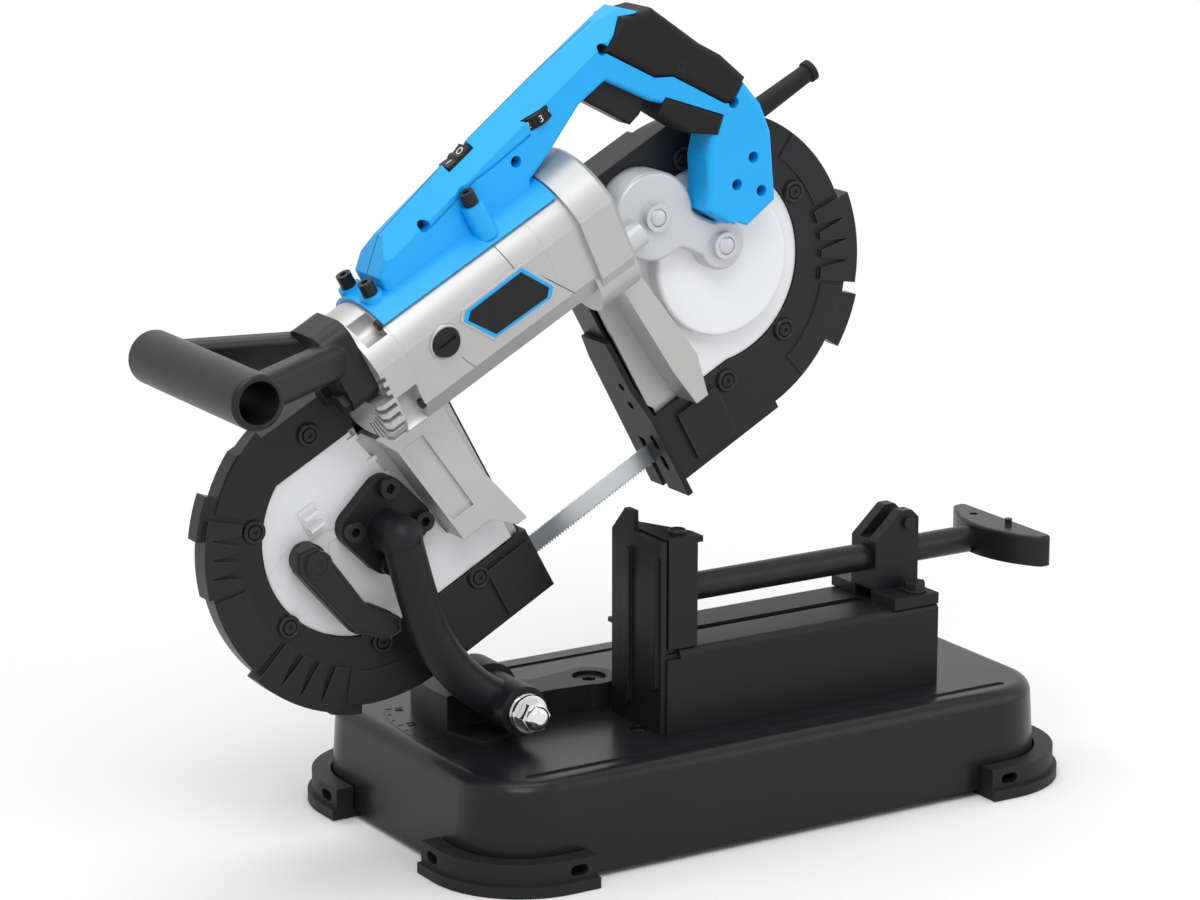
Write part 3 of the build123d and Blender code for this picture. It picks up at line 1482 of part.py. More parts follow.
def upper_grip_outline(y):
    """The rubber over the top of the grip."""
    with BuildSketch(face_at(y)) as face:
        with BuildLine():
            Polyline(
                (281, 185), (303, 197), (325, 190), (345, 150), (355, 135), (364, 112), (348, 103),
                (342, 106), (317, 143), (305, 150), close=True,
            )
        make_face()
    return face.sketch


def lower_grip_outline(y):
    """The rubber under the fingers."""
    with BuildSketch(face_at(y)) as face:
        with BuildLine():
            Polyline((306, 135), (338, 100), (328, 91), (310, 104), (296, 128), close=True)
        make_face()
    return face.sketch


trigger_way = (0.83, 0.55)
trigger_stroke = 6.0
trigger_seat = 4.0
pocket_half = 9.4
shell_gap = 0.3


def trigger_outline(y, reach, grow):
    """The trigger, stretched into the handle by the given reach."""
    with BuildSketch(face_at(y)) as face:
        with BuildLine():
            Polyline(
                (258 - grow, 162 + grow), (280, 129 - grow), (289 + grow, 131 - grow),
                (296 + trigger_way[0] * reach + grow, 136 + trigger_way[1] * reach),
                (274 + trigger_way[0] * reach, 169 + trigger_way[1] * reach + grow), close=True,
            )
        make_face()
    return face.sketch


def trigger_pocket():
    """The room the trigger needs, through its whole stroke."""
    return trigger_outline(handle_y + pocket_half, trigger_stroke + trigger_seat + 2, 0.4)


def motor_round(s, radius):
    """A round cutter face that leaves a thin gap to the motor."""
    return disc(section_at(s, motor_t, motor_y), 0, 0, radius + shell_gap)


dial_s = 221.0
dial_t = 175.0
dial_radius = 12.0
dial_y = near_front + 9.0
rocker_s = 166.5
rocker_t = 177.0
rocker_half = 6.0
with BuildPart() as handle_near:
    extrude(handle_outline(handle_y), amount=handle_half)
    fillet(handle_near.faces().sort_by(Axis.Y)[0].edges(), 4)
    with BuildSketch(section_at(saddle_left, motor_t, motor_y)):
        Circle(motor_radius + 3)
        Circle(motor_radius + shell_gap, mode=Mode.SUBTRACT)
        with Locations((0, -70)):
            Rectangle(200, 202, mode=Mode.SUBTRACT)
        with Locations((handle_y - motor_y + 50, 0)):
            Rectangle(100, 200, mode=Mode.SUBTRACT)
    extrude(amount=saddle_length)
    extrude(beam_slope(-1), amount=300, mode=Mode.SUBTRACT)
    extrude(beam_groove(near_front), amount=-1.2, mode=Mode.SUBTRACT)
    with BuildSketch(face_at(near_front)):
        with Locations((120, 161), (194, 160), (281, 187), (348, 103), (344, 63), (325, 54), (339, 40)):
            Circle(3.8)
    extrude(amount=-9, mode=Mode.SUBTRACT)
    extrude(disc(shelf_at(boss_s, boss_top, boss_y), 0, 0, 7.5), amount=-24)
    extrude(disc(shelf_at(boss_s, boss_top, boss_y), 0, 0, bolt_head + 1), amount=30, mode=Mode.SUBTRACT)
    extrude(disc(shelf_at(lug_s, lug_top, handle_y), 0, near_lug, 7.5), amount=-14)
    extrude(motor_round(cap_left, motor_radius), amount=collar_left - cap_left, mode=Mode.SUBTRACT)
    extrude(motor_round(collar_left - shell_gap, case_radius), amount=60, mode=Mode.SUBTRACT)
    extrude(cover_outline(plate_front, 0.4), amount=60, mode=Mode.SUBTRACT)
    extrude(upper_grip_outline(20), amount=80, mode=Mode.SUBTRACT)
    extrude(lower_grip_outline(20), amount=80, mode=Mode.SUBTRACT)
    extrude(trigger_pocket(), amount=2 * pocket_half, mode=Mode.SUBTRACT)
    with BuildSketch(shelf_at(dial_s, dial_t, dial_y)):
        Circle(dial_radius + 0.4)
    extrude(amount=4.4, both=True, mode=Mode.SUBTRACT)
    with BuildSketch(shelf_at(rocker_s, rocker_t + 9, handle_y)):
        Rectangle(22, 2 * rocker_half + 1)
    extrude(amount=-21, mode=Mode.SUBTRACT)
save(handle_near, "handle_near")

with BuildPart() as handle_far:
    extrude(handle_outline(far_back), amount=handle_half)
    fillet(handle_far.faces().sort_by(Axis.Y)[-1].edges(), 4)
    with BuildSketch(section_at(saddle_left, motor_t, motor_y)):
        Circle(motor_radius + 3)
        Circle(motor_radius + shell_gap, mode=Mode.SUBTRACT)
        with Locations((0, -70)):
            Rectangle(200, 202, mode=Mode.SUBTRACT)
        with Locations((handle_y - motor_y - 50, 0)):
            Rectangle(100, 200, mode=Mode.SUBTRACT)
    extrude(amount=saddle_length)
    extrude(beam_slope(1), amount=300, mode=Mode.SUBTRACT)
    extrude(disc(shelf_at(lug_s, lug_top, handle_y), 0, far_lug, 7.5), amount=-14)
    extrude(motor_round(cap_left, motor_radius), amount=collar_left - cap_left, mode=Mode.SUBTRACT)
    extrude(motor_round(collar_left - shell_gap, case_radius), amount=60, mode=Mode.SUBTRACT)
    extrude(cover_outline(plate_front, 0.4), amount=60, mode=Mode.SUBTRACT)
    extrude(
        outline(((280, 0), (420, 0), (420, 118), (280, 118)), face_at(far_back + 1)),
        amount=far_back + 1 - leg_back,
        mode=Mode.SUBTRACT,
    )
    extrude(upper_grip_outline(20), amount=80, mode=Mode.SUBTRACT)
    extrude(lower_grip_outline(20), amount=80, mode=Mode.SUBTRACT)
    extrude(trigger_pocket(), amount=2 * pocket_half, mode=Mode.SUBTRACT)
    with BuildSketch(shelf_at(dial_s, dial_t, dial_y)):
        Circle(dial_radius + 0.4)
    extrude(amount=4.4, both=True, mode=Mode.SUBTRACT)
    with BuildSketch(shelf_at(rocker_s, rocker_t + 9, handle_y)):
        Rectangle(22, 2 * rocker_half + 1)
    extrude(amount=-21, mode=Mode.SUBTRACT)
save(handle_far, "handle_far")

# Grip rubber: one piece over the back of the hand, one under the fingers
with BuildPart() as upper_grip:
    extrude(upper_grip_outline(grip_back), amount=grip_back - grip_front)
    extrude(trigger_pocket(), amount=2 * pocket_half, mode=Mode.SUBTRACT)
    fillet(upper_grip.faces().sort_by(Axis.Y)[0].edges(), 5)
    fillet(upper_grip.faces().sort_by(Axis.Y)[-1].edges(), 5)
save(upper_grip, "upper_grip")

with BuildPart() as lower_grip:
    extrude(lower_grip_outline(leg_back), amount=leg_back - grip_front)
    fillet(lower_grip.faces().sort_by(Axis.Y)[0].edges(), 3)
save(lower_grip, "lower_grip")

# Trigger: slides into the handle
with BuildPart() as trigger:
    extrude(trigger_outline(handle_y + 9, trigger_seat, 0), amount=18)
    fillet(trigger.faces().sort_by(Axis.Y)[0].edges(), 2.5)
    fillet(trigger.faces().sort_by(Axis.Y)[-1].edges(), 2.5)
save(trigger, "trigger")

# Speed dial: a knurled thumb wheel that shows through the near shell
with BuildPart() as speed_dial:
    with BuildSketch(shelf_at(dial_s, dial_t, dial_y)):
        Circle(dial_radius)
        with PolarLocations(dial_radius, 24):
            Circle(0.7, mode=Mode.SUBTRACT)
    extrude(amount=4, both=True)
save(speed_dial, "speed_dial")

# Rocker switch: two sloped halves meeting over the hinge
with BuildPart() as rocker_switch:
    with BuildSketch(face_at(handle_y + rocker_half)):
        with BuildLine():
            Polyline(
                (rocker_s - 9.5, rocker_t - 4), (rocker_s + 9.5, rocker_t),
                (rocker_s + 8.6, rocker_t + 5.2),
                (rocker_s - 0.5, rocker_t + 1.8), (rocker_s - 10.2, rocker_t + 1.7), close=True,
            )
        make_face()
    extrude(amount=2 * rocker_half)
    extrude(disc(face_at(handle_y + rocker_half), rocker_s, rocker_t, 3.5), amount=2 * rocker_half)
save(rocker_switch, "rocker_switch")

# Cord sleeve: the rubber sleeve where the cord would leave the leg
sleeve_left = 366.5
sleeve_t = 82.0
sleeve_y = handle_y - 4.0
sleeve_length = 49.5
lip_length = 4.0
with BuildPart() as cord_sleeve:
    with BuildSketch(section_at(sleeve_left, sleeve_t, sleeve_y)):
        Circle(7)
    extrude(amount=sleeve_length, taper=1.2)
    with BuildSketch(section_at(sleeve_left + sleeve_length - lip_length, sleeve_t, sleeve_y)):
        Circle(7.4)
    extrude(amount=lip_length)
    extrude(disc(section_at(sleeve_left, sleeve_t, sleeve_y), 0, 0, 4), amount=60, mode=Mode.SUBTRACT)
save(cord_sleeve, "cord_sleeve")

# Auxiliary handle: a round grip across the saw on two arms that meet at the end cap
aux_s = -46.0
aux_t = 157.0
aux_near = -90.0
aux_far = 57.0
aux_radius = 17.5
hub_s = 31.0
hub_t = 124.0
hub_y = -24.0
hub_depth = 20.0


def strut_face(start, end):
    """A rounded cross-section at the start of a straight arm."""
    way = Vector(*end) - Vector(*start)
    with BuildSketch(Plane(origin=start, x_dir=way.cross(Vector(0, 1, 0)), z_dir=way)) as face:
        RectangleRounded(24, 18, 6)
    return face.sketch


with BuildPart() as aux_handle:
    extrude(disc(face_at(aux_far), aux_s, aux_t, aux_radius), amount=aux_far - aux_near)
    fillet(aux_handle.edges().filter_by(GeomType.CIRCLE), 3)
    for grip_end, hub_side in ((aux_near + 14, -36), (aux_far - 14, -12)):
        arm_start = spot(aux_s, aux_t, grip_end)
        arm_end = spot(hub_s, hub_t, hub_side)
        extrude(strut_face(arm_start, arm_end), amount=(Vector(*arm_end) - Vector(*arm_start)).length)
    with BuildSketch(section_at(cap_left, hub_t - 6, hub_y)):
        RectangleRounded(46, 56, 12)
    extrude(amount=-hub_depth)
    extrude(disc(face_at(aux_far), aux_s, aux_t, 13.5), amount=aux_far - aux_near, mode=Mode.SUBTRACT)
save(aux_handle, "aux_handle")

# Handle bolts: three socket screws through the saddle and two nuts on the hub of the auxiliary handle
with BuildPart() as handle_bolts:
    with BuildSketch(shelf_at(lug_s, lug_top, handle_y)):
        with Locations((0, near_lug), (0, far_lug)):
            Circle(bolt_head)
            RegularPolygon(2.6, 6, mode=Mode.SUBTRACT)
    extrude(amount=bolt_high)
    with BuildSketch(shelf_at(boss_s, boss_top, boss_y)):
        Circle(bolt_head)
        RegularPolygon(2.6, 6, mode=Mode.SUBTRACT)
    extrude(amount=bolt_high)
    with BuildSketch(section_at(cap_left - 20, hub_t - 26, -24)):
        with Locations((-12, 0), (12, 0)):
            RegularPolygon(6.5, 6, major_radius=False)
    extrude(amount=-5)
save(handle_bolts, "handle_bolts")
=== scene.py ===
# %% [markdown]
# # A metal band saw on its bench stand
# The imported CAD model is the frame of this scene: every solid is already in its true place, in metres.
# This file gives each solid its finish, adds the small pieces that a solid model leaves out,
# and sets up the studio and the camera. It is read from top to bottom, one cell at a time.

# %% Load the frame
import bpy
import bmesh
import math
from mathutils import Matrix, Vector


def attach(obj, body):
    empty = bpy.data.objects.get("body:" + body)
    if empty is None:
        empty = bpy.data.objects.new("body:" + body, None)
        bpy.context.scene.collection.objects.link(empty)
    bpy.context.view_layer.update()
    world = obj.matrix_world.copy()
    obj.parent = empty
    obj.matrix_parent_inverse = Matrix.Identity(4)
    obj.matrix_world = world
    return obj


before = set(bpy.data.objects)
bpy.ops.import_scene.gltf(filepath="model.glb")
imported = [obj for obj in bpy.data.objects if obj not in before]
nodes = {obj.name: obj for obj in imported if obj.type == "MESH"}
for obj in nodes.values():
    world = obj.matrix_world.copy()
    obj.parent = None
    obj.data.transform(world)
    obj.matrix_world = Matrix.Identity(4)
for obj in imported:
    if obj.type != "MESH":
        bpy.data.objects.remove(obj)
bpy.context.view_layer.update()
print("nodes in the frame:", len(nodes))

# %% [markdown]
# ## Camera
# The photograph looks down on the saw from the front left through a long lens.
# A camera could be moved about by eye, but here its place was worked out from the corners of the base,
# so it is written down as a point and a target. A long lens keeps the sides of the base nearly parallel.

# %% Camera at the photograph's angle
camera_place = Vector((-1.3117, -2.1371, 0.8801))
camera_target = Vector((-0.0534, -0.095, 0.270))
camera_data = bpy.data.cameras.new("camera")
camera_data.lens = 118.8
camera_data.sensor_width = 36.0
camera_data.sensor_fit = "HORIZONTAL"
camera_data.clip_end = 50.0
camera = bpy.data.objects.new("camera", camera_data)
camera.location = camera_place
camera.rotation_euler = (camera_target - camera_place).to_track_quat("-Z", "Y").to_euler()
bpy.context.collection.objects.link(camera)
bpy.context.scene.camera = camera
print("camera distance", round((camera_target - camera_place).length, 3), "m")

# %% [markdown]
# ## Studio
# A pale floor and large soft lamps show the forms without hard shadows.
# A photographer would hang a paper roll; a wide flat floor does the same job and is never seen to end.
# It lies a hair below the feet, because two faces in one plane would flicker.

# %% Floor
scene = bpy.context.scene
scene.view_settings.view_transform = "Standard"

floor_half = 6.0
floor_drop = 0.0004
floor_corners = [(x * floor_half, y * floor_half, 0) for x, y in ((-1, -1), (1, -1), (1, 1), (-1, 1))]
floor_mesh = bpy.data.meshes.new("floor")
floor_mesh.from_pydata(floor_corners, [], [(0, 1, 2, 3)])
floor = bpy.data.objects.new("floor", floor_mesh)
floor.location.z = -floor_drop
bpy.context.collection.objects.link(floor)

print("floor side", 2 * floor_half, "m")

# %% [markdown]
# A studio can look white and still light the saw only gently, if a surface knows who is looking at it.
# The Light Path node tells that. This helper joins three of its answers: one for the camera,
# for mirrors and for glass, and nought for the rays that only carry light.

# %% Who is looking


def seen_by_eye(tree):
    """The socket that is one for rays of the camera, of mirrors and of glass, and nought for others."""
    ray = tree.nodes.new("ShaderNodeLightPath")
    answer = ray.outputs["Is Camera Ray"]
    for kind in ("Is Glossy Ray", "Is Transmission Ray"):
        larger = tree.nodes.new("ShaderNodeMath")
        larger.operation = "MAXIMUM"
        tree.links.new(answer, larger.inputs[0])
        tree.links.new(ray.outputs[kind], larger.inputs[1])
        answer = larger.outputs[0]
    return answer


print("light path helper ready")

# %% [markdown]
# The floor is pale paint near the saw, where it takes the shadow. Further off, the lamps no longer reach
# it evenly, so there it turns to plain white for the eye and for reflections.
# The distance is measured on the floor itself.

# %% A floor that fades to white
fade_start = 0.35
fade_stop = 0.75
floor_look = bpy.data.materials.new("pale_floor")
floor_look.use_nodes = True
floor_mesh.materials.append(floor_look)
paint = floor_look.node_tree
paint_shader = paint.nodes["Principled BSDF"]
paint_shader.inputs["Base Color"].default_value = (0.94, 0.94, 0.94, 1)
paint_shader.inputs["Roughness"].default_value = 0.9
paint_shader.inputs["Specular IOR Level"].default_value = 0.1
floor_spot = paint.nodes.new("ShaderNodeNewGeometry")
floor_way = paint.nodes.new("ShaderNodeVectorMath")
floor_way.operation = "LENGTH"
paint.links.new(floor_spot.outputs["Position"], floor_way.inputs[0])
floor_far = paint.nodes.new("ShaderNodeMapRange")
floor_far.interpolation_type = "SMOOTHSTEP"
floor_far.inputs["From Min"].default_value = fade_start
floor_far.inputs["From Max"].default_value = fade_stop
paint.links.new(floor_way.outputs["Value"], floor_far.inputs["Value"])
floor_share = paint.nodes.new("ShaderNodeMath")
floor_share.operation = "MULTIPLY"
paint.links.new(seen_by_eye(paint), floor_share.inputs[0])
paint.links.new(floor_far.outputs["Result"], floor_share.inputs[1])
floor_white = paint.nodes.new("ShaderNodeEmission")
floor_blend = paint.nodes.new("ShaderNodeMixShader")
paint.links.new(floor_share.outputs[0], floor_blend.inputs["Fac"])
paint.links.new(paint_shader.outputs["BSDF"], floor_blend.inputs[1])
paint.links.new(floor_white.outputs["Emission"], floor_blend.inputs[2])
paint.links.new(floor_blend.outputs["Shader"], paint.nodes["Material Output"].inputs["Surface"])
print("floor fades to white between", fade_start, "and", fade_stop, "m")

# %% [markdown]
# The world behind the floor is white to the eye, and dimmer as a lamp, so the black paint keeps its depth.

# %% World
light_as_lamp = 0.46
light_to_eye = 1.0
world = bpy.data.worlds.new("studio")
scene.world = world
world.use_nodes = True
sky = world.node_tree
level = sky.nodes.new("ShaderNodeMapRange")
level.inputs["To Min"].default_value = light_as_lamp
level.inputs["To Max"].default_value = light_to_eye
sky.links.new(seen_by_eye(sky), level.inputs["Value"])
sky.links.new(level.outputs[0], sky.nodes["Background"].inputs["Strength"])
sky.nodes["Background"].inputs["Color"].default_value = (1, 1, 1, 1)
print("world strength:", light_to_eye, "to the eye,", light_as_lamp, "as a lamp")

# %% [markdown]
# Three large square lamps add direction: most of the light comes from above, as in the photograph.
# A small lamp would draw hard edges in the shadow; a large one near the saw keeps them soft.

# %% Lamps


def soft_lamp(name, place, aim, size, power):
    """A square lamp that faces a point."""
    data = bpy.data.lights.new(name, "AREA")
    data.size = size
    data.energy = power
    lamp = bpy.data.objects.new(name, data)
    lamp.location = place
    lamp.rotation_euler = (Vector(aim) - Vector(place)).to_track_quat("-Z", "Y").to_euler()
    bpy.context.collection.objects.link(lamp)


saw_middle = (-0.03, 0.0, 0.25)
soft_lamp("key", (-0.9, -1.5, 2.3), saw_middle, 1.4, 30)
soft_lamp("fill", (1.9, -1.6, 1.0), saw_middle, 1.6, 9)
soft_lamp("top", (0.1, 0.5, 2.6), saw_middle, 1.8, 30)

# %% [markdown]
# ## Finishes
# Every finish is one node material built by the same helper: a base colour that drifts a little,
# a roughness that varies, a fine bump, softened edges, and painted light along those edges.
# The painted edge line could be painted by hand. Here it is found: the Bevel node bends the normal near an
# edge, and where the bent normal leaves the true one, the colour changes: paler as a painted highlight,
# darker as painted shade where a darker edge colour is given.
# A Mix node has sockets of the same name for numbers and colours, so its colours are reached by number.

# %% The finish helper
mix_first, mix_second, mix_out = 6, 7, 2


def finish(name, colour, rough, metal=0.0, grain=900.0, grain_depth=0.05, drift=0.08, edge=0.0006, painted_edge_colour=None,
           painted_edge_share=0.35, coat=0.0, spread=0.12, shine=0.5):
    """A procedural material with drift, grain, softened edges and painted light along the edges."""
    look = bpy.data.materials.new(name)
    look.use_nodes = True
    tree = look.node_tree
    shader = tree.nodes["Principled BSDF"]
    shader.inputs["Metallic"].default_value = metal
    shader.inputs["Specular IOR Level"].default_value = shine
    shader.inputs["Coat Weight"].default_value = coat
    shader.inputs["Coat Roughness"].default_value = 0.12
    where = tree.nodes.new("ShaderNodeTexCoord")

    cloud = tree.nodes.new("ShaderNodeTexNoise")
    cloud.inputs["Scale"].default_value = 14.0
    cloud.inputs["Detail"].default_value = 4.0
    tree.links.new(where.outputs["Object"], cloud.inputs["Vector"])
    shade = tree.nodes.new("ShaderNodeMix")
    shade.data_type = "RGBA"
    shade.inputs[mix_first].default_value = (*[max(0.0, c * (1 - drift)) for c in colour], 1)
    shade.inputs[mix_second].default_value = (*[min(1.0, c * (1 + drift)) for c in colour], 1)
    tree.links.new(cloud.outputs["Fac"], shade.inputs["Factor"])

    bevel = tree.nodes.new("ShaderNodeBevel")
    bevel.samples = 4
    bevel.inputs["Radius"].default_value = edge
    true_way = tree.nodes.new("ShaderNodeNewGeometry")
    agree = tree.nodes.new("ShaderNodeVectorMath")
    agree.operation = "DOT_PRODUCT"
    tree.links.new(bevel.outputs["Normal"], agree.inputs[0])
    tree.links.new(true_way.outputs["Normal"], agree.inputs[1])
    # The mask of the edges: where the bevel normal leaves the true one, the colour turns to the painted edge
    # colour.
    rim = tree.nodes.new("ShaderNodeMapRange")
    rim.inputs["From Min"].default_value = 0.995
    rim.inputs["From Max"].default_value = 0.86
    rim.inputs["To Max"].default_value = painted_edge_share
    tree.links.new(agree.outputs["Value"], rim.inputs["Value"])
    # By default the edges are painted paler, as a painted highlight.
    default_edge_highlight = [min(1.0, c * 1.6 + 0.03) for c in colour]
    painted_edge_mix = tree.nodes.new("ShaderNodeMix")
    painted_edge_mix.data_type = "RGBA"
    painted_edge_mix.inputs[mix_second].default_value = (*(painted_edge_colour or default_edge_highlight), 1)
    tree.links.new(rim.outputs["Result"], painted_edge_mix.inputs["Factor"])
    tree.links.new(shade.outputs[mix_out], painted_edge_mix.inputs[mix_first])
    tree.links.new(painted_edge_mix.outputs[mix_out], shader.inputs["Base Color"])

    speck = tree.nodes.new("ShaderNodeTexNoise")
    speck.inputs["Scale"].default_value = grain
    speck.inputs["Detail"].default_value = 3.0
    tree.links.new(where.outputs["Object"], speck.inputs["Vector"])
    gloss = tree.nodes.new("ShaderNodeMapRange")
    gloss.inputs["To Min"].default_value = max(0.03, rough - spread / 2)
    gloss.inputs["To Max"].default_value = min(1.0, rough + spread / 2)
    tree.links.new(cloud.outputs["Fac"], gloss.inputs["Value"])
    tree.links.new(gloss.outputs["Result"], shader.inputs["Roughness"])
    bump = tree.nodes.new("ShaderNodeBump")
    bump.inputs["Strength"].default_value = grain_depth
    bump.inputs["Distance"].default_value = 0.001
    tree.links.new(speck.outputs["Fac"], bump.inputs["Height"])
    tree.links.new(bevel.outputs["Normal"], bump.inputs["Normal"])
    tree.links.new(bump.outputs["Normal"], shader.inputs["Normal"])
    return look


print("finish helper ready")

# %% [markdown]
# ## Which piece has which finish
# Moulded blue handle, anthracite guards, silver cast motor, white enamelled plates, black enamelled stand,
# bare steel and rubber: each group of solids shares one finish, so a change is made in one place.
# After its name, a finish has its colour and its roughness.

# %% Plastic and rubber
# The paler edge colours here, given or by default, are painted highlights along every edge.
blue_shell = finish("blue_shell", (0.006, 0.40, 0.89), 0.38, grain=2400, grain_depth=0.03,
                    painted_edge_share=0.25, shine=0.4)
guard_black = finish("guard_black", (0.0115, 0.012, 0.0135), 0.37, grain=1800, grain_depth=0.07,
                     painted_edge_colour=(0.11, 0.113, 0.122), painted_edge_share=0.5, edge=0.0008, shine=0.28)
grip_rubber = finish("grip_rubber", (0.010, 0.010, 0.010), 0.58, grain=2600, grain_depth=0.14,
                     painted_edge_colour=(0.05, 0.05, 0.05), shine=0.2)
switch_black = finish("switch_black", (0.012, 0.012, 0.013), 0.38, grain=2000, grain_depth=0.03,
                      shine=0.22)
foot_rubber = finish("foot_rubber", (0.013, 0.0135, 0.0145), 0.52, grain=1500, grain_depth=0.10,
                     painted_edge_colour=(0.06, 0.06, 0.06), shine=0.22)
print("plastic and rubber ready")

# %% [markdown]
# The cast and pressed pieces are painted. Silver paint holds metal flakes, so it is partly metallic;
# enamel is not, and the enamel of the base has a thin clear coat.

# %% Paint and enamel
# The paler edge colours of the silver, pale and black paints and of mark_white are painted highlights; the
# darker edge colour of the white enamel is painted shade.
silver_cast = finish("silver_cast", (0.49, 0.49, 0.485), 0.38, metal=0.45, grain=1500, grain_depth=0.07,
                     painted_edge_colour=(0.62, 0.62, 0.62))
pale_cast = finish("pale_cast", (0.58, 0.585, 0.60), 0.40, metal=0.3, grain=1500, grain_depth=0.05,
                   painted_edge_colour=(0.74, 0.74, 0.75))
white_enamel = finish("white_enamel", (0.87, 0.875, 0.89), 0.34, grain=1200, grain_depth=0.02, drift=0.02,
                      painted_edge_colour=(0.62, 0.63, 0.66))
stand_enamel = finish("stand_enamel", (0.011, 0.0115, 0.013), 0.30, grain=700, grain_depth=0.03,
                      painted_edge_colour=(0.06, 0.06, 0.07), coat=0.06, shine=0.22)
satin_black = finish("satin_black", (0.011, 0.0115, 0.013), 0.44, grain=1300, grain_depth=0.06,
                     painted_edge_colour=(0.07, 0.07, 0.08), shine=0.22)
mark_white = finish("mark_white", (0.78, 0.78, 0.78), 0.5, grain=1200, grain_depth=0.02, drift=0.03)
print("paint and enamel ready")

# %% [markdown]
# Bare metal is wholly or mostly metallic, and a blackened screw much less, because its skin is oxide.
# Colour and roughness set one metal apart from the next: a plated nut is nearly a mirror, a blade is brushed.

# %% Bare metal
# The edges of bare metal are painted paler, as painted highlights.
bare_steel = finish("bare_steel", (0.52, 0.53, 0.54), 0.32, metal=1.0, grain=1100, grain_depth=0.05)
blade_steel = finish("blade_steel", (0.62, 0.66, 0.68), 0.32, metal=0.8, grain=1600, grain_depth=0.03)
bright_nut = finish("bright_nut", (0.78, 0.78, 0.79), 0.12, metal=1.0, grain=600, grain_depth=0.01,
                    spread=0.06)
dark_steel = finish("dark_steel", (0.02, 0.02, 0.022), 0.34, metal=0.3, grain=1400, grain_depth=0.04,
                    painted_edge_colour=(0.16, 0.16, 0.16), shine=0.25)
copper_iron = finish("copper_iron", (0.35, 0.17, 0.09), 0.4, metal=0.8)
trees = [look.node_tree for look in bpy.data.materials if look.node_tree]
print("finishes:", sum("Bevel" in tree.nodes for tree in trees))

# %% [markdown]
# ## Dressing the solids
# A table of finish and names is easier to read and to change than a material set piece by piece.

# %% Every solid gets its finish
groups = (
    (blue_shell, ("handle_near", "handle_far")),
    (guard_black, ("left_guard", "right_guard", "return_cover", "aux_handle", "tension_lever")),
    (grip_rubber, ("upper_grip", "lower_grip", "cord_sleeve", "idler_tyre", "drive_tyre")),
    (switch_black, ("trigger", "speed_dial", "rocker_switch", "brush_cap")),
    (silver_cast, ("motor_housing", "end_cap", "gear_case", "main_frame")),
    (pale_cast, ("gear_cover",)),
    (white_enamel, ("left_plate", "right_plate")),
    (stand_enamel, ("base_pan",)),
    (satin_black, ("arm", "vise_body", "fixed_jaw", "movable_jaw", "nut_bracket", "swivel_plate",
                   "work_stop")),
    (foot_rubber, ("foot_front_left", "foot_front_right", "foot_back_left", "foot_back_right")),
    (blade_steel, ("saw_blade",)),
    (bright_nut, ("acorn_nut", "pivot_washers", "pivot_bolt")),
    (dark_steel, ("guard_screws", "handle_bolts", "arm_screws", "bracket_bolts", "swivel_bolt", "jaw_pin",
                  "vise_screw", "screw_handle")),
    (bare_steel, ("idler_axle", "idler_carriage", "lever_cam", "drive_shaft", "output_gear", "cross_gear",
                  "counter_shaft", "ball_bearings", "blade_guides", "idler_wheel", "drive_wheel")),
    (copper_iron, ("armature", "stator")),
)
dressed = set()
for look, names in groups:
    for name in names:
        nodes[name].data.materials.clear()
        nodes[name].data.materials.append(look)
        dressed.add(name)
print("without a finish:", sorted(set(nodes) - dressed))

# %% [markdown]
# ## Working in the head's own directions
# The saw head leans on its pivot. Small pieces on it are easier to place when they are measured along
# the head, up from it and deep into it, in millimetres, as a maker would.
# One helper turns such a point into the room's metres.

# %% Points on the head
millimetre = 0.001
lean = math.radians(28.5)
wheel_gap = 301
wheel_depth = 23
head_start = Vector((-0.172, 0.0, 0.2125))
along = Vector((math.cos(lean), 0, math.sin(lean)))
upward = Vector((-math.sin(lean), 0, math.cos(lean)))
deep = Vector((0, 1, 0))


def on_head(s, t, y):
    """A point of the head: along, up and deep, in millimetres."""
    return head_start + (along * s + upward * t + deep * y) * millimetre


print("the head's wheel centres:", on_head(0, 0, wheel_depth), on_head(wheel_gap, 0, wheel_depth))

# %% [markdown]
# ## Flat pieces
# A flat piece is an outline with a thickness. A bar is the plainest one: a middle, two directions and two
# half sizes. A mesh that is still open for work takes any number of them, so a set of equal pieces
# stays one object.

# %% Plates and bars


def plate(work, corners, thick):
    """A flat piece: its corners in order, and the vector through its thickness."""
    low = [work.verts.new(point) for point in corners]
    high = [work.verts.new(point + thick) for point in corners]
    work.faces.new(low)
    work.faces.new(high[::-1])
    for a in range(len(low)):
        b = (a + 1) % len(low)
        work.faces.new((low[b], low[a], high[a], high[b]))


def bar(work, middle, long_way, wide_way, half_long, half_wide, thick):
    """A straight flat piece about its middle; the half sizes are in millimetres."""
    reach = long_way * half_long * millimetre
    side = wide_way * half_wide * millimetre
    plate(work, [middle - reach - side, middle + reach - side, middle + reach + side, middle - reach + side],
          thick)


print("flat pieces ready")

# %% [markdown]
# ## Round pieces and fine lines
# A round piece is a profile turned about an axis, as on a lathe. A fine line, such as a parting line,
# is a path with a small round section; at this size six sides look round.

# %% Turned forms and lines
line_sides = 6


def turned(work, profile, centre, axis, sides=32):
    """A round piece: closed profile of (radius, height) in millimetres about an axis."""
    axis = axis.normalized()
    across = axis.orthogonal().normalized()
    rest = axis.cross(across)
    turn = [2 * math.pi * k / sides for k in range(sides)]
    spokes = [across * math.cos(a) + rest * math.sin(a) for a in turn]
    rings = []
    for radius, height in profile:
        base = centre + axis * height * millimetre
        rings.append([work.verts.new(base + spoke * radius * millimetre) for spoke in spokes])
    for a in range(len(rings)):
        one, two = rings[a], rings[(a + 1) % len(rings)]
        for k in range(sides):
            work.faces.new((one[k], one[(k + 1) % sides], two[(k + 1) % sides], two[k]))


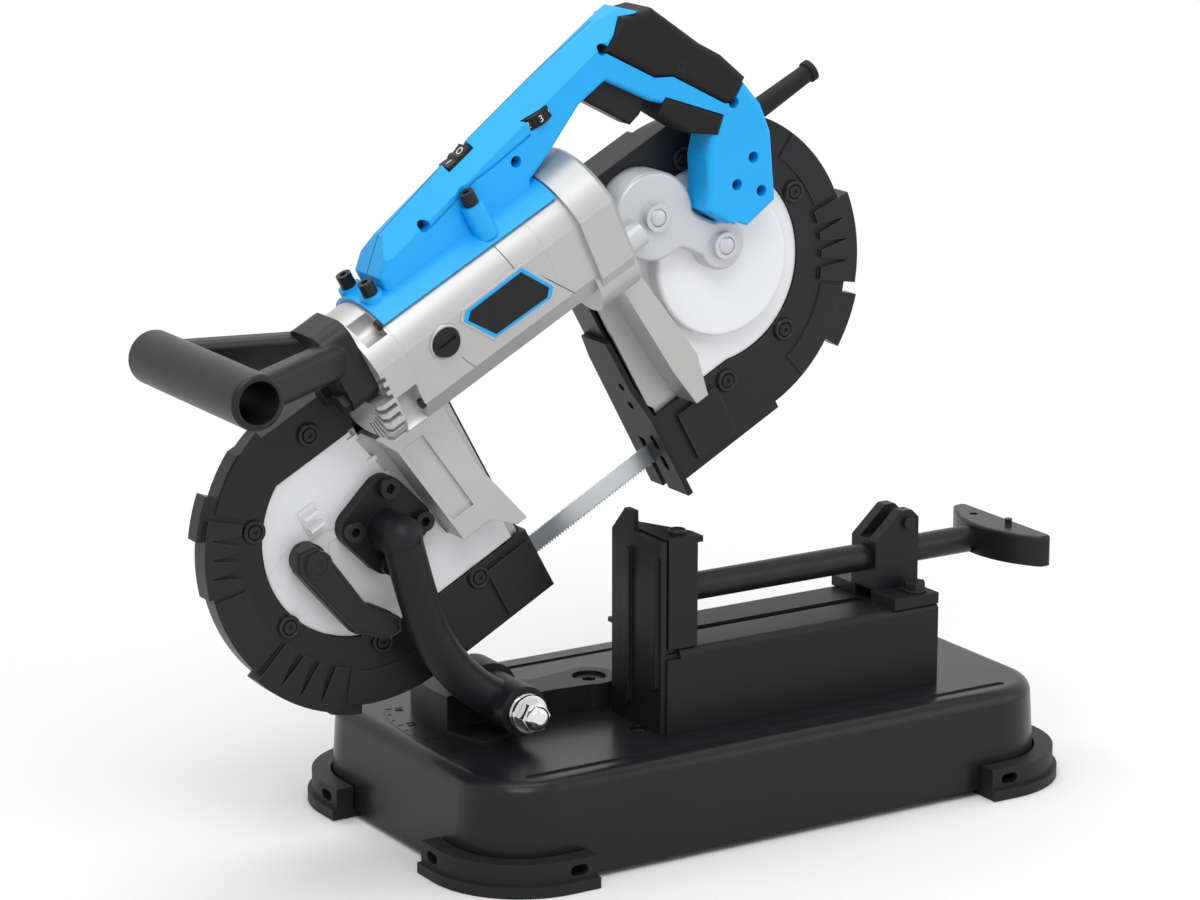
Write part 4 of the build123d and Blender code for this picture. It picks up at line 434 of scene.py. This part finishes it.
def line(work, points, radius):
    """A fine line: short straight runs with a round section, radius in millimetres."""
    turn = [2 * math.pi * k / line_sides for k in range(line_sides)]
    for start, stop in zip(points, points[1:]):
        way = (stop - start).normalized()
        across = way.orthogonal().normalized() * radius * millimetre
        rest = way.cross(across)
        ends = []
        for place in (start, stop):
            ends.append([work.verts.new(place + across * math.cos(a) + rest * math.sin(a)) for a in turn])
        work.faces.new(ends[0][::-1])
        work.faces.new(ends[1])
        for k in range(line_sides):
            after = (k + 1) % line_sides
            work.faces.new((ends[0][k], ends[0][after], ends[1][after], ends[1][k]))


print("round pieces and lines ready")

# %% [markdown]
# ## From a mesh to a piece
# When its mesh is whole, a piece gets its finish and is told which body of the saw it rides on,
# so that it moves with that body. A bevel can soften its sharp edges.

# %% Keeping a piece


def keep(name, work, body, look, soft=0.0):
    """Makes the mesh a piece that rides on a body; soft is the bevel width in millimetres."""
    bmesh.ops.recalc_face_normals(work, faces=work.faces)
    mesh = bpy.data.meshes.new(name)
    work.to_mesh(mesh)
    work.free()
    mesh.materials.append(look)
    piece = bpy.data.objects.new(name, mesh)
    bpy.context.collection.objects.link(piece)
    if soft:
        edge = piece.modifiers.new("soft_edges", "BEVEL")
        edge.width = soft * millimetre
        edge.segments = 2
        edge.limit_method = "ANGLE"
    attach(piece, body)
    print(name, "rides on", body, "with", len(mesh.polygons), "faces")


print("piece helper ready")

# %% [markdown]
# ## The motor's front
# The silver motor has a flat leaning front. A six-cornered plate sits there, and it is left blank.
# It is three layers, each a little proud of the last: a cast pad, a blue border and a black face.
# The corners are measured on the flat itself: along the motor, and up from the lower crease.
# Each layer starts below the flat, and its border is narrower along the motor than across it.

# %% The blank plate
crease_t, crease_y = 69.9, -49.8
rise_t, rise_y = 0.986, -0.166
flat_out = (upward * rise_y - deep * rise_t).normalized()


def on_flat(s, up):
    """A point on the motor's leaning front: along it, and up from its lower crease."""
    return on_head(s, crease_t + rise_t * up, crease_y + rise_y * up)


plate_corners = [(154.3, 38.2), (168.0, 15.6), (164.0, 10.4), (122.4, 11.2), (108.6, 32.4), (112.4, 37.4)]
middle_s, middle_up = 137.6, 24.4
along_share = 0.62
sunk = 0.8
layers = (
    ("plate_pad", 1.30, 0.5, silver_cast, "silver_paint"),
    ("plate_border", 1.16, 0.9, blue_shell, "blue_plastic"),
    ("plate_face", 1.0, 1.15, switch_black, "black_plastic"),
)
for name, grow, proud, look, slot in layers:
    work = bmesh.new()
    grow_along = 1 + (grow - 1) * along_share
    corners = [on_flat(middle_s + (s - middle_s) * grow_along, middle_up + (up - middle_up) * grow)
               for s, up in plate_corners]
    roots = [point - flat_out * sunk * millimetre for point in corners]
    plate(work, roots, flat_out * (sunk + proud) * millimetre)
    keep(name, work, "head", look, 0.25)

# %% [markdown]
# The brush cap sits in a ring with a raised lip. A lathe would turn such a lip, so it is a turned profile,
# with its axis square to the leaning front.

# %% Brush ring
lip_profile = [(9.7, -1.0), (9.7, 1.0), (10.6, 1.5), (11.4, 1.0), (11.8, -1.0)]
work = bmesh.new()
turned(work, lip_profile, on_flat(89.0, 29.5), flat_out, 48)
keep("brush_ring", work, "head", silver_cast)

# %% [markdown]
# A fine slanted line shows where the motor housing meets its front half.
# It follows the round top and the flat, and a short one runs down by the brush cap.

# %% Parting line of the motor
motor_t, motor_y = 99.0, -17.0
motor_radius = 41.0
parting_slant = 0.18


def on_motor(s, angle):
    """A point on the motor's round top: along it, and degrees up from its front."""
    turn = math.radians(angle)
    return on_head(s, motor_t + motor_radius * math.sin(turn), motor_y - motor_radius * math.cos(turn))


work = bmesh.new()
round_part = [on_motor(150.0 + parting_slant * k, angle) for k, angle in enumerate(range(52, 15, -4))]
line(work, round_part + [on_flat(157.0, 40.6), on_flat(183.0, 0.0)], 0.28)
line(work, [on_flat(95.4, 12.0), on_flat(100.7, 0.0)], 0.22)
keep("motor_parting", work, "head", dark_steel)

# %% [markdown]
# The end cap of the motor is held by long screws. Their heads sit at the bottom of two pockets,
# facing away from the motor, so they are turned about the head's long direction.

# %% End cap screws
pocket_floor = 60.0
cap_screw_places = ((130.0, -44.0), (70.4, -46.4))
cap_screw_profile = [(0.05, 0.5), (0.05, -2.6), (2.6, -2.5), (3.6, -1.8), (3.6, 0.5)]
work = bmesh.new()
for t, y in cap_screw_places:
    turned(work, cap_screw_profile, on_head(pocket_floor, t, y), along, 28)
keep("cap_screws", work, "head", dark_steel)

# %% [markdown]
# The gear cover has two round bosses, each closed by a domed plug pressed into it.
# A plug is a profile turned about the deep direction, so its heights are depths on the head.

# %% Cover plugs
plug_places = ((269, 64), (304, 18))
plug_profile = [(0.05, -23.2), (5.8, -23.2), (5.8, -25.0), (5.0, -25.9), (3.2, -26.5), (0.05, -26.8)]
work = bmesh.new()
for s, t in plug_places:
    turned(work, plug_profile, on_head(s, t, 0), deep, 36)
keep("cover_plugs", work, "head", pale_cast)

# %% [markdown]
# ## Bosses round the guard screws
# Each screw of the guards stands in a moulded ring. The rings share one profile, so they are turned in a loop
# at the places of the screws: some on a circle about each wheel, three on the straight arms.

# %% Guard bosses
screw_circle = 76.5
boss_profile = [(5.0, 1.2), (5.0, -1.2), (5.6, -1.8), (6.9, -1.8), (7.6, -1.0), (8.0, 1.2)]


def round_wheel(wheel_s, angles):
    """The places of screws on a circle about a wheel, at angles in degrees."""
    turns = [math.radians(angle) for angle in angles]
    return [(wheel_s + screw_circle * math.cos(a), screw_circle * math.sin(a)) for a in turns]


left_screws = round_wheel(0, (90, 144, 198, 252))
right_screws = round_wheel(wheel_gap, (-70, 5, 80))
arm_screws = [(54, -79), (273, -76), (249, 93)]
work = bmesh.new()
for s, t in left_screws + right_screws + arm_screws:
    turned(work, boss_profile, on_head(s, t, 0), deep, 36)
keep("guard_bosses", work, "head", guard_black)

# %% [markdown]
# ## Screws in the handle's wells
# The two shells of the handle are held by screws at the bottom of deep wells. From outside a dark
# cross-head shows. A head is turned with a low dome, and two thin bars lie in it as the cross.

# %% Well screws
well_places = [(120, 161), (194, 160), (281, 187), (348, 103), (344, 63), (325, 54), (339, 40)]
well_profile = [(0.05, -27.6), (2.4, -27.5), (3.2, -26.9), (3.2, -26.1), (0.05, -26.1)]
cross_depth = -27.7
cross_reach, cross_half, cross_thick = 1.7, 0.3, 0.3
work = bmesh.new()
for s, t in well_places:
    turned(work, well_profile, on_head(s, t, 0), deep, 24)
    cross = on_head(s, t, cross_depth)
    for way, other in ((along, upward), (upward, along)):
        bar(work, cross, way, other, cross_reach, cross_half, deep * cross_thick * millimetre)
keep("well_screws", work, "head", dark_steel)

# %% [markdown]
# A dark hole in the rubber of the grip shows one more screw.
# It is a short sleeve, set just proud of the rubber.

# %% Grip screw
sleeve_profile = [(0.05, -35.9), (2.4, -35.9), (2.8, -36.25), (3.6, -36.25), (3.8, -35.5), (0.05, -35.5)]
work = bmesh.new()
turned(work, sleeve_profile, on_head(325, 146, 0), deep, 28)
keep("grip_screw", work, "head", switch_black)

# %% [markdown]
# The two shells meet in a fine seam along the top of the handle, in the handle's middle plane.
# It is drawn in two runs, because the rocker switch sits between them.

# %% Seam of the shells
handle_middle = -17.0
seam_runs = (((78, 150), (97, 167), (155, 180)), ((179, 184.1), (234, 193.5), (290, 199.9)))
work = bmesh.new()
for run in seam_runs:
    line(work, [on_head(s, t, handle_middle) for s, t in run], 0.22)
keep("shell_seam", work, "head", switch_black)

# %% [markdown]
# ## Marks on the switch
# The rocker carries the bar and ring of on and off. They are painted on the real saw; here they are
# thin raised shapes, so that they stay sharp and move with the rocker.
# The ring lies flat on the half of the rocker that is tipped up, so its axis leans with that half.

# %% Switch marks
ring_profile = [(1.9, -0.3), (1.9, 0.2), (2.8, 0.2), (2.8, -0.3)]
slope_up = (upward * 10.0 - along * 3.74).normalized()
work = bmesh.new()
bar(work, on_head(161.0, 178.73, handle_middle), along, deep, 2.4, 0.55, upward * 0.18 * millimetre)
turned(work, ring_profile, on_head(170.7, 180.58, handle_middle), slope_up, 32)
keep("switch_marks", work, "rocker", mark_white)

# %% [markdown]
# ## Numbers
# A number is a text curve with a little thickness. Text could stay a curve, but a mesh can be turned and
# placed by one matrix, and it rides on a body like every other piece.

# %% The number helper
letter_scale = 1.4


def number(text, place, right, up, high, thick, name, body, look):
    """A raised number: its middle, its right and up directions, its height and thickness in millimetres."""
    letters = bpy.data.curves.new(name, "FONT")
    letters.body = text
    letters.size = high * millimetre * letter_scale
    letters.extrude = thick * millimetre / 2
    letters.align_x = "CENTER"
    letters.align_y = "CENTER"
    draft = bpy.data.objects.new(name + "_draft", letters)
    mesh = bpy.data.meshes.new_from_object(draft)
    bpy.data.objects.remove(draft)
    out = right.cross(up)
    turn = Matrix((right, up, out)).transposed().to_4x4()
    mesh.transform(Matrix.Translation(place) @ turn)
    mesh.materials.append(look)
    piece = bpy.data.objects.new(name, mesh)
    bpy.context.collection.objects.link(piece)
    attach(piece, body)


print("number helper ready")

# %% [markdown]
# The thumb wheel of the speed dial carries the numbers 1 to 6 round its edge, an eighth of a turn apart.
# Each stands on the edge and faces outward, and the wheel takes them along when it turns.

# %% Dial numbers
dial_middle = on_head(221, 175, -26)
dial_radius = 12.12
dial_count = 6
for step in range(dial_count):
    text = str(step + 1)
    angle = math.radians(-90 + 45 * (step - 2))
    out = along * math.cos(angle) + deep * math.sin(angle)
    right = out.cross(upward) * -1
    number(text, dial_middle + out * dial_radius * millimetre, right, upward, 4.6, 0.2,
           "dial_number_" + text, "dial", mark_white)
print("numbers on the dial:", dial_count)

# %% [markdown]
# ## Blade teeth
# The band is a smooth strip in the solid model. Its teeth are raked triangles at an even pitch, bent a little
# to one side and the other in turn, which is what lets a saw clear its own cut.

# %% Teeth along the throat
throat_start, throat_stop = 98, 212
tooth_pitch = 2.3
tooth_rake = 0.25
tooth_root, tooth_tip = -102.95, -104.5
tooth_thick, tooth_set = 0.6, 0.18
band_face = 22.7
tooth_count = int((throat_stop - throat_start) / tooth_pitch)
work = bmesh.new()
for tooth in range(tooth_count):
    start = throat_start + tooth * tooth_pitch
    lean_out = tooth_set if tooth % 2 else -tooth_set
    gullet = [on_head(start, tooth_root, band_face), on_head(start + tooth_pitch, tooth_root, band_face)]
    tip = on_head(start + tooth_rake * tooth_pitch, tooth_tip, band_face + lean_out)
    plate(work, gullet + [tip], deep * tooth_thick * millimetre)
keep("blade_teeth", work, "head", blade_steel)
print("teeth:", tooth_count)

# %% [markdown]
# ## White plate
# Faint raised lines run over the white plate, and small tabs sit on its edge by the motor post.
# They are pressed with the plate, so lines and tabs are one piece in the plate's own enamel.

# %% Lines and tabs on the white plate
plate_front = 3.0
line_depth = 2.9
long_line = ((-69.0, 11.4), (-54, 18.7), (-44, 20.4), (-30, 14.6), (-18, 13.4), (-10.9, 12.1))
short_line = ((-25.6, -6.0), (-24.4, 3.0), (-21.5, 6.4), (-15.3, 5.2))
tab_places = ((24.7, 55.0), (29.6, 35.0), (32.0, 21.0))
tab_half_long, tab_half_wide, tab_proud = 3.4, 1.6, 1.6
work = bmesh.new()
for run in (long_line, short_line):
    line(work, [on_head(s, t, line_depth) for s, t in run], 0.3)
for s, t in tab_places:
    bar(work, on_head(s, t, plate_front), along, upward, tab_half_long, tab_half_wide,
        deep * -tab_proud * millimetre)
keep("plate_lines", work, "head", white_enamel, 0.2)

# %% [markdown]
# ## Tension lever
# The lever that slackens the band has a ring round its pivot screw and a raised rim round its face.
# The rim is a line that follows the lever's outline, a little inside it.

# %% Lever ring and rim
lever_ring_profile = [(2.2, -17.6), (2.2, -18.9), (5.4, -18.9), (6.6, -18.2), (6.6, -17.6)]
work = bmesh.new()
turned(work, lever_ring_profile, on_head(-41, 8, 0), deep, 36)
keep("lever_ring", work, "lever", dark_steel)

rim_depth = -16.9
lever_edge = [(-53.4, 9.6), (-48.3, 20.2), (-37.2, 17.6), (-32.6, 1.6), (-27.5, -34.6), (-12.0, -58.4),
              (-15.0, -65.3), (-23.4, -64.4), (-40.6, -47.2), (-49.4, -9.7), (-53.4, 9.6)]
work = bmesh.new()
line(work, [on_head(s, t, rim_depth) for s, t in lever_edge], 0.8)
# The rim's narrow faces lie within the guard finish's edge width, so the rim shows its painted edge highlight
# all along.
keep("lever_rim", work, "lever", guard_black)

# %% [markdown]
# Small ribs on both edges of the lever's tip keep a finger from slipping.
# Each is a thin pin that stands half in the edge; five are spread evenly along each edge.

# %% Lever ribs
rib_count = 5
rib_profile = [(0.05, -15.6), (1.1, -15.6), (1.1, -8.0), (0.05, -8.0)]
rib_rows = (((-22.6, -40.0), (7.5, -11.0)), ((-37.8, -51.6), (9.5, -9.8)))
work = bmesh.new()
for rib in range(rib_count):
    share = rib / (rib_count - 1)
    for (start_s, start_t), (run_s, run_t) in rib_rows:
        turned(work, rib_profile, on_head(start_s + run_s * share, start_t + run_t * share, 0), deep, 12)
keep("lever_ribs", work, "lever", guard_black)

# %% [markdown]
# ## Angle scale on the base
# The pan carries a pressed scale where the swivel turns: an arc, short strokes and numbers, all in the same
# black enamel. They are only a third of a millimetre high, so they show by their shine, as on the real pan.

# %% Scale strokes
swivel_middle = Vector((0.0026, 0.010, 0.068))
scale_start = 157.2
stroke_step, stroke_count = 5, 7
arc_radius, stroke_outer, long_inner, short_inner = 138, 136.5, 132, 134


def on_pan(radius, angle, high=0.0):
    """A point on the pan round the swivel bolt: millimetres out, degrees round."""
    turn = math.radians(angle)
    return swivel_middle + Vector((math.cos(turn) * radius, math.sin(turn) * radius, high)) * millimetre


work = bmesh.new()
line(work, [on_pan(arc_radius, 156 + 2 * k) for k in range(17)], 0.35)
for stroke in range(stroke_count):
    angle = scale_start + stroke_step * stroke
    inner = short_inner if stroke % 3 else long_inner
    line(work, [on_pan(stroke_outer, angle), on_pan(inner, angle)], 0.35)
keep("scale_strokes", work, "stand", stand_enamel)
print("scale strokes:", stroke_count)

# %% [markdown]
# Every third stroke has its angle beside it. The numbers are read from outside, so their tops point inward.

# %% Scale numbers
number_radius = 127.5
for place, text in enumerate(("30", "15", "0")):
    angle = scale_start + 3 * stroke_step * place
    turn = math.radians(angle)
    inward = Vector((-math.cos(turn), -math.sin(turn), 0))
    right = Vector((-math.sin(turn), math.cos(turn), 0))
    number(text, on_pan(number_radius, angle, 0.1), right, inward, 5.5, 0.7,
           "scale_number_" + text, "stand", stand_enamel)
    print("scale number", text, "at", angle, "degrees")
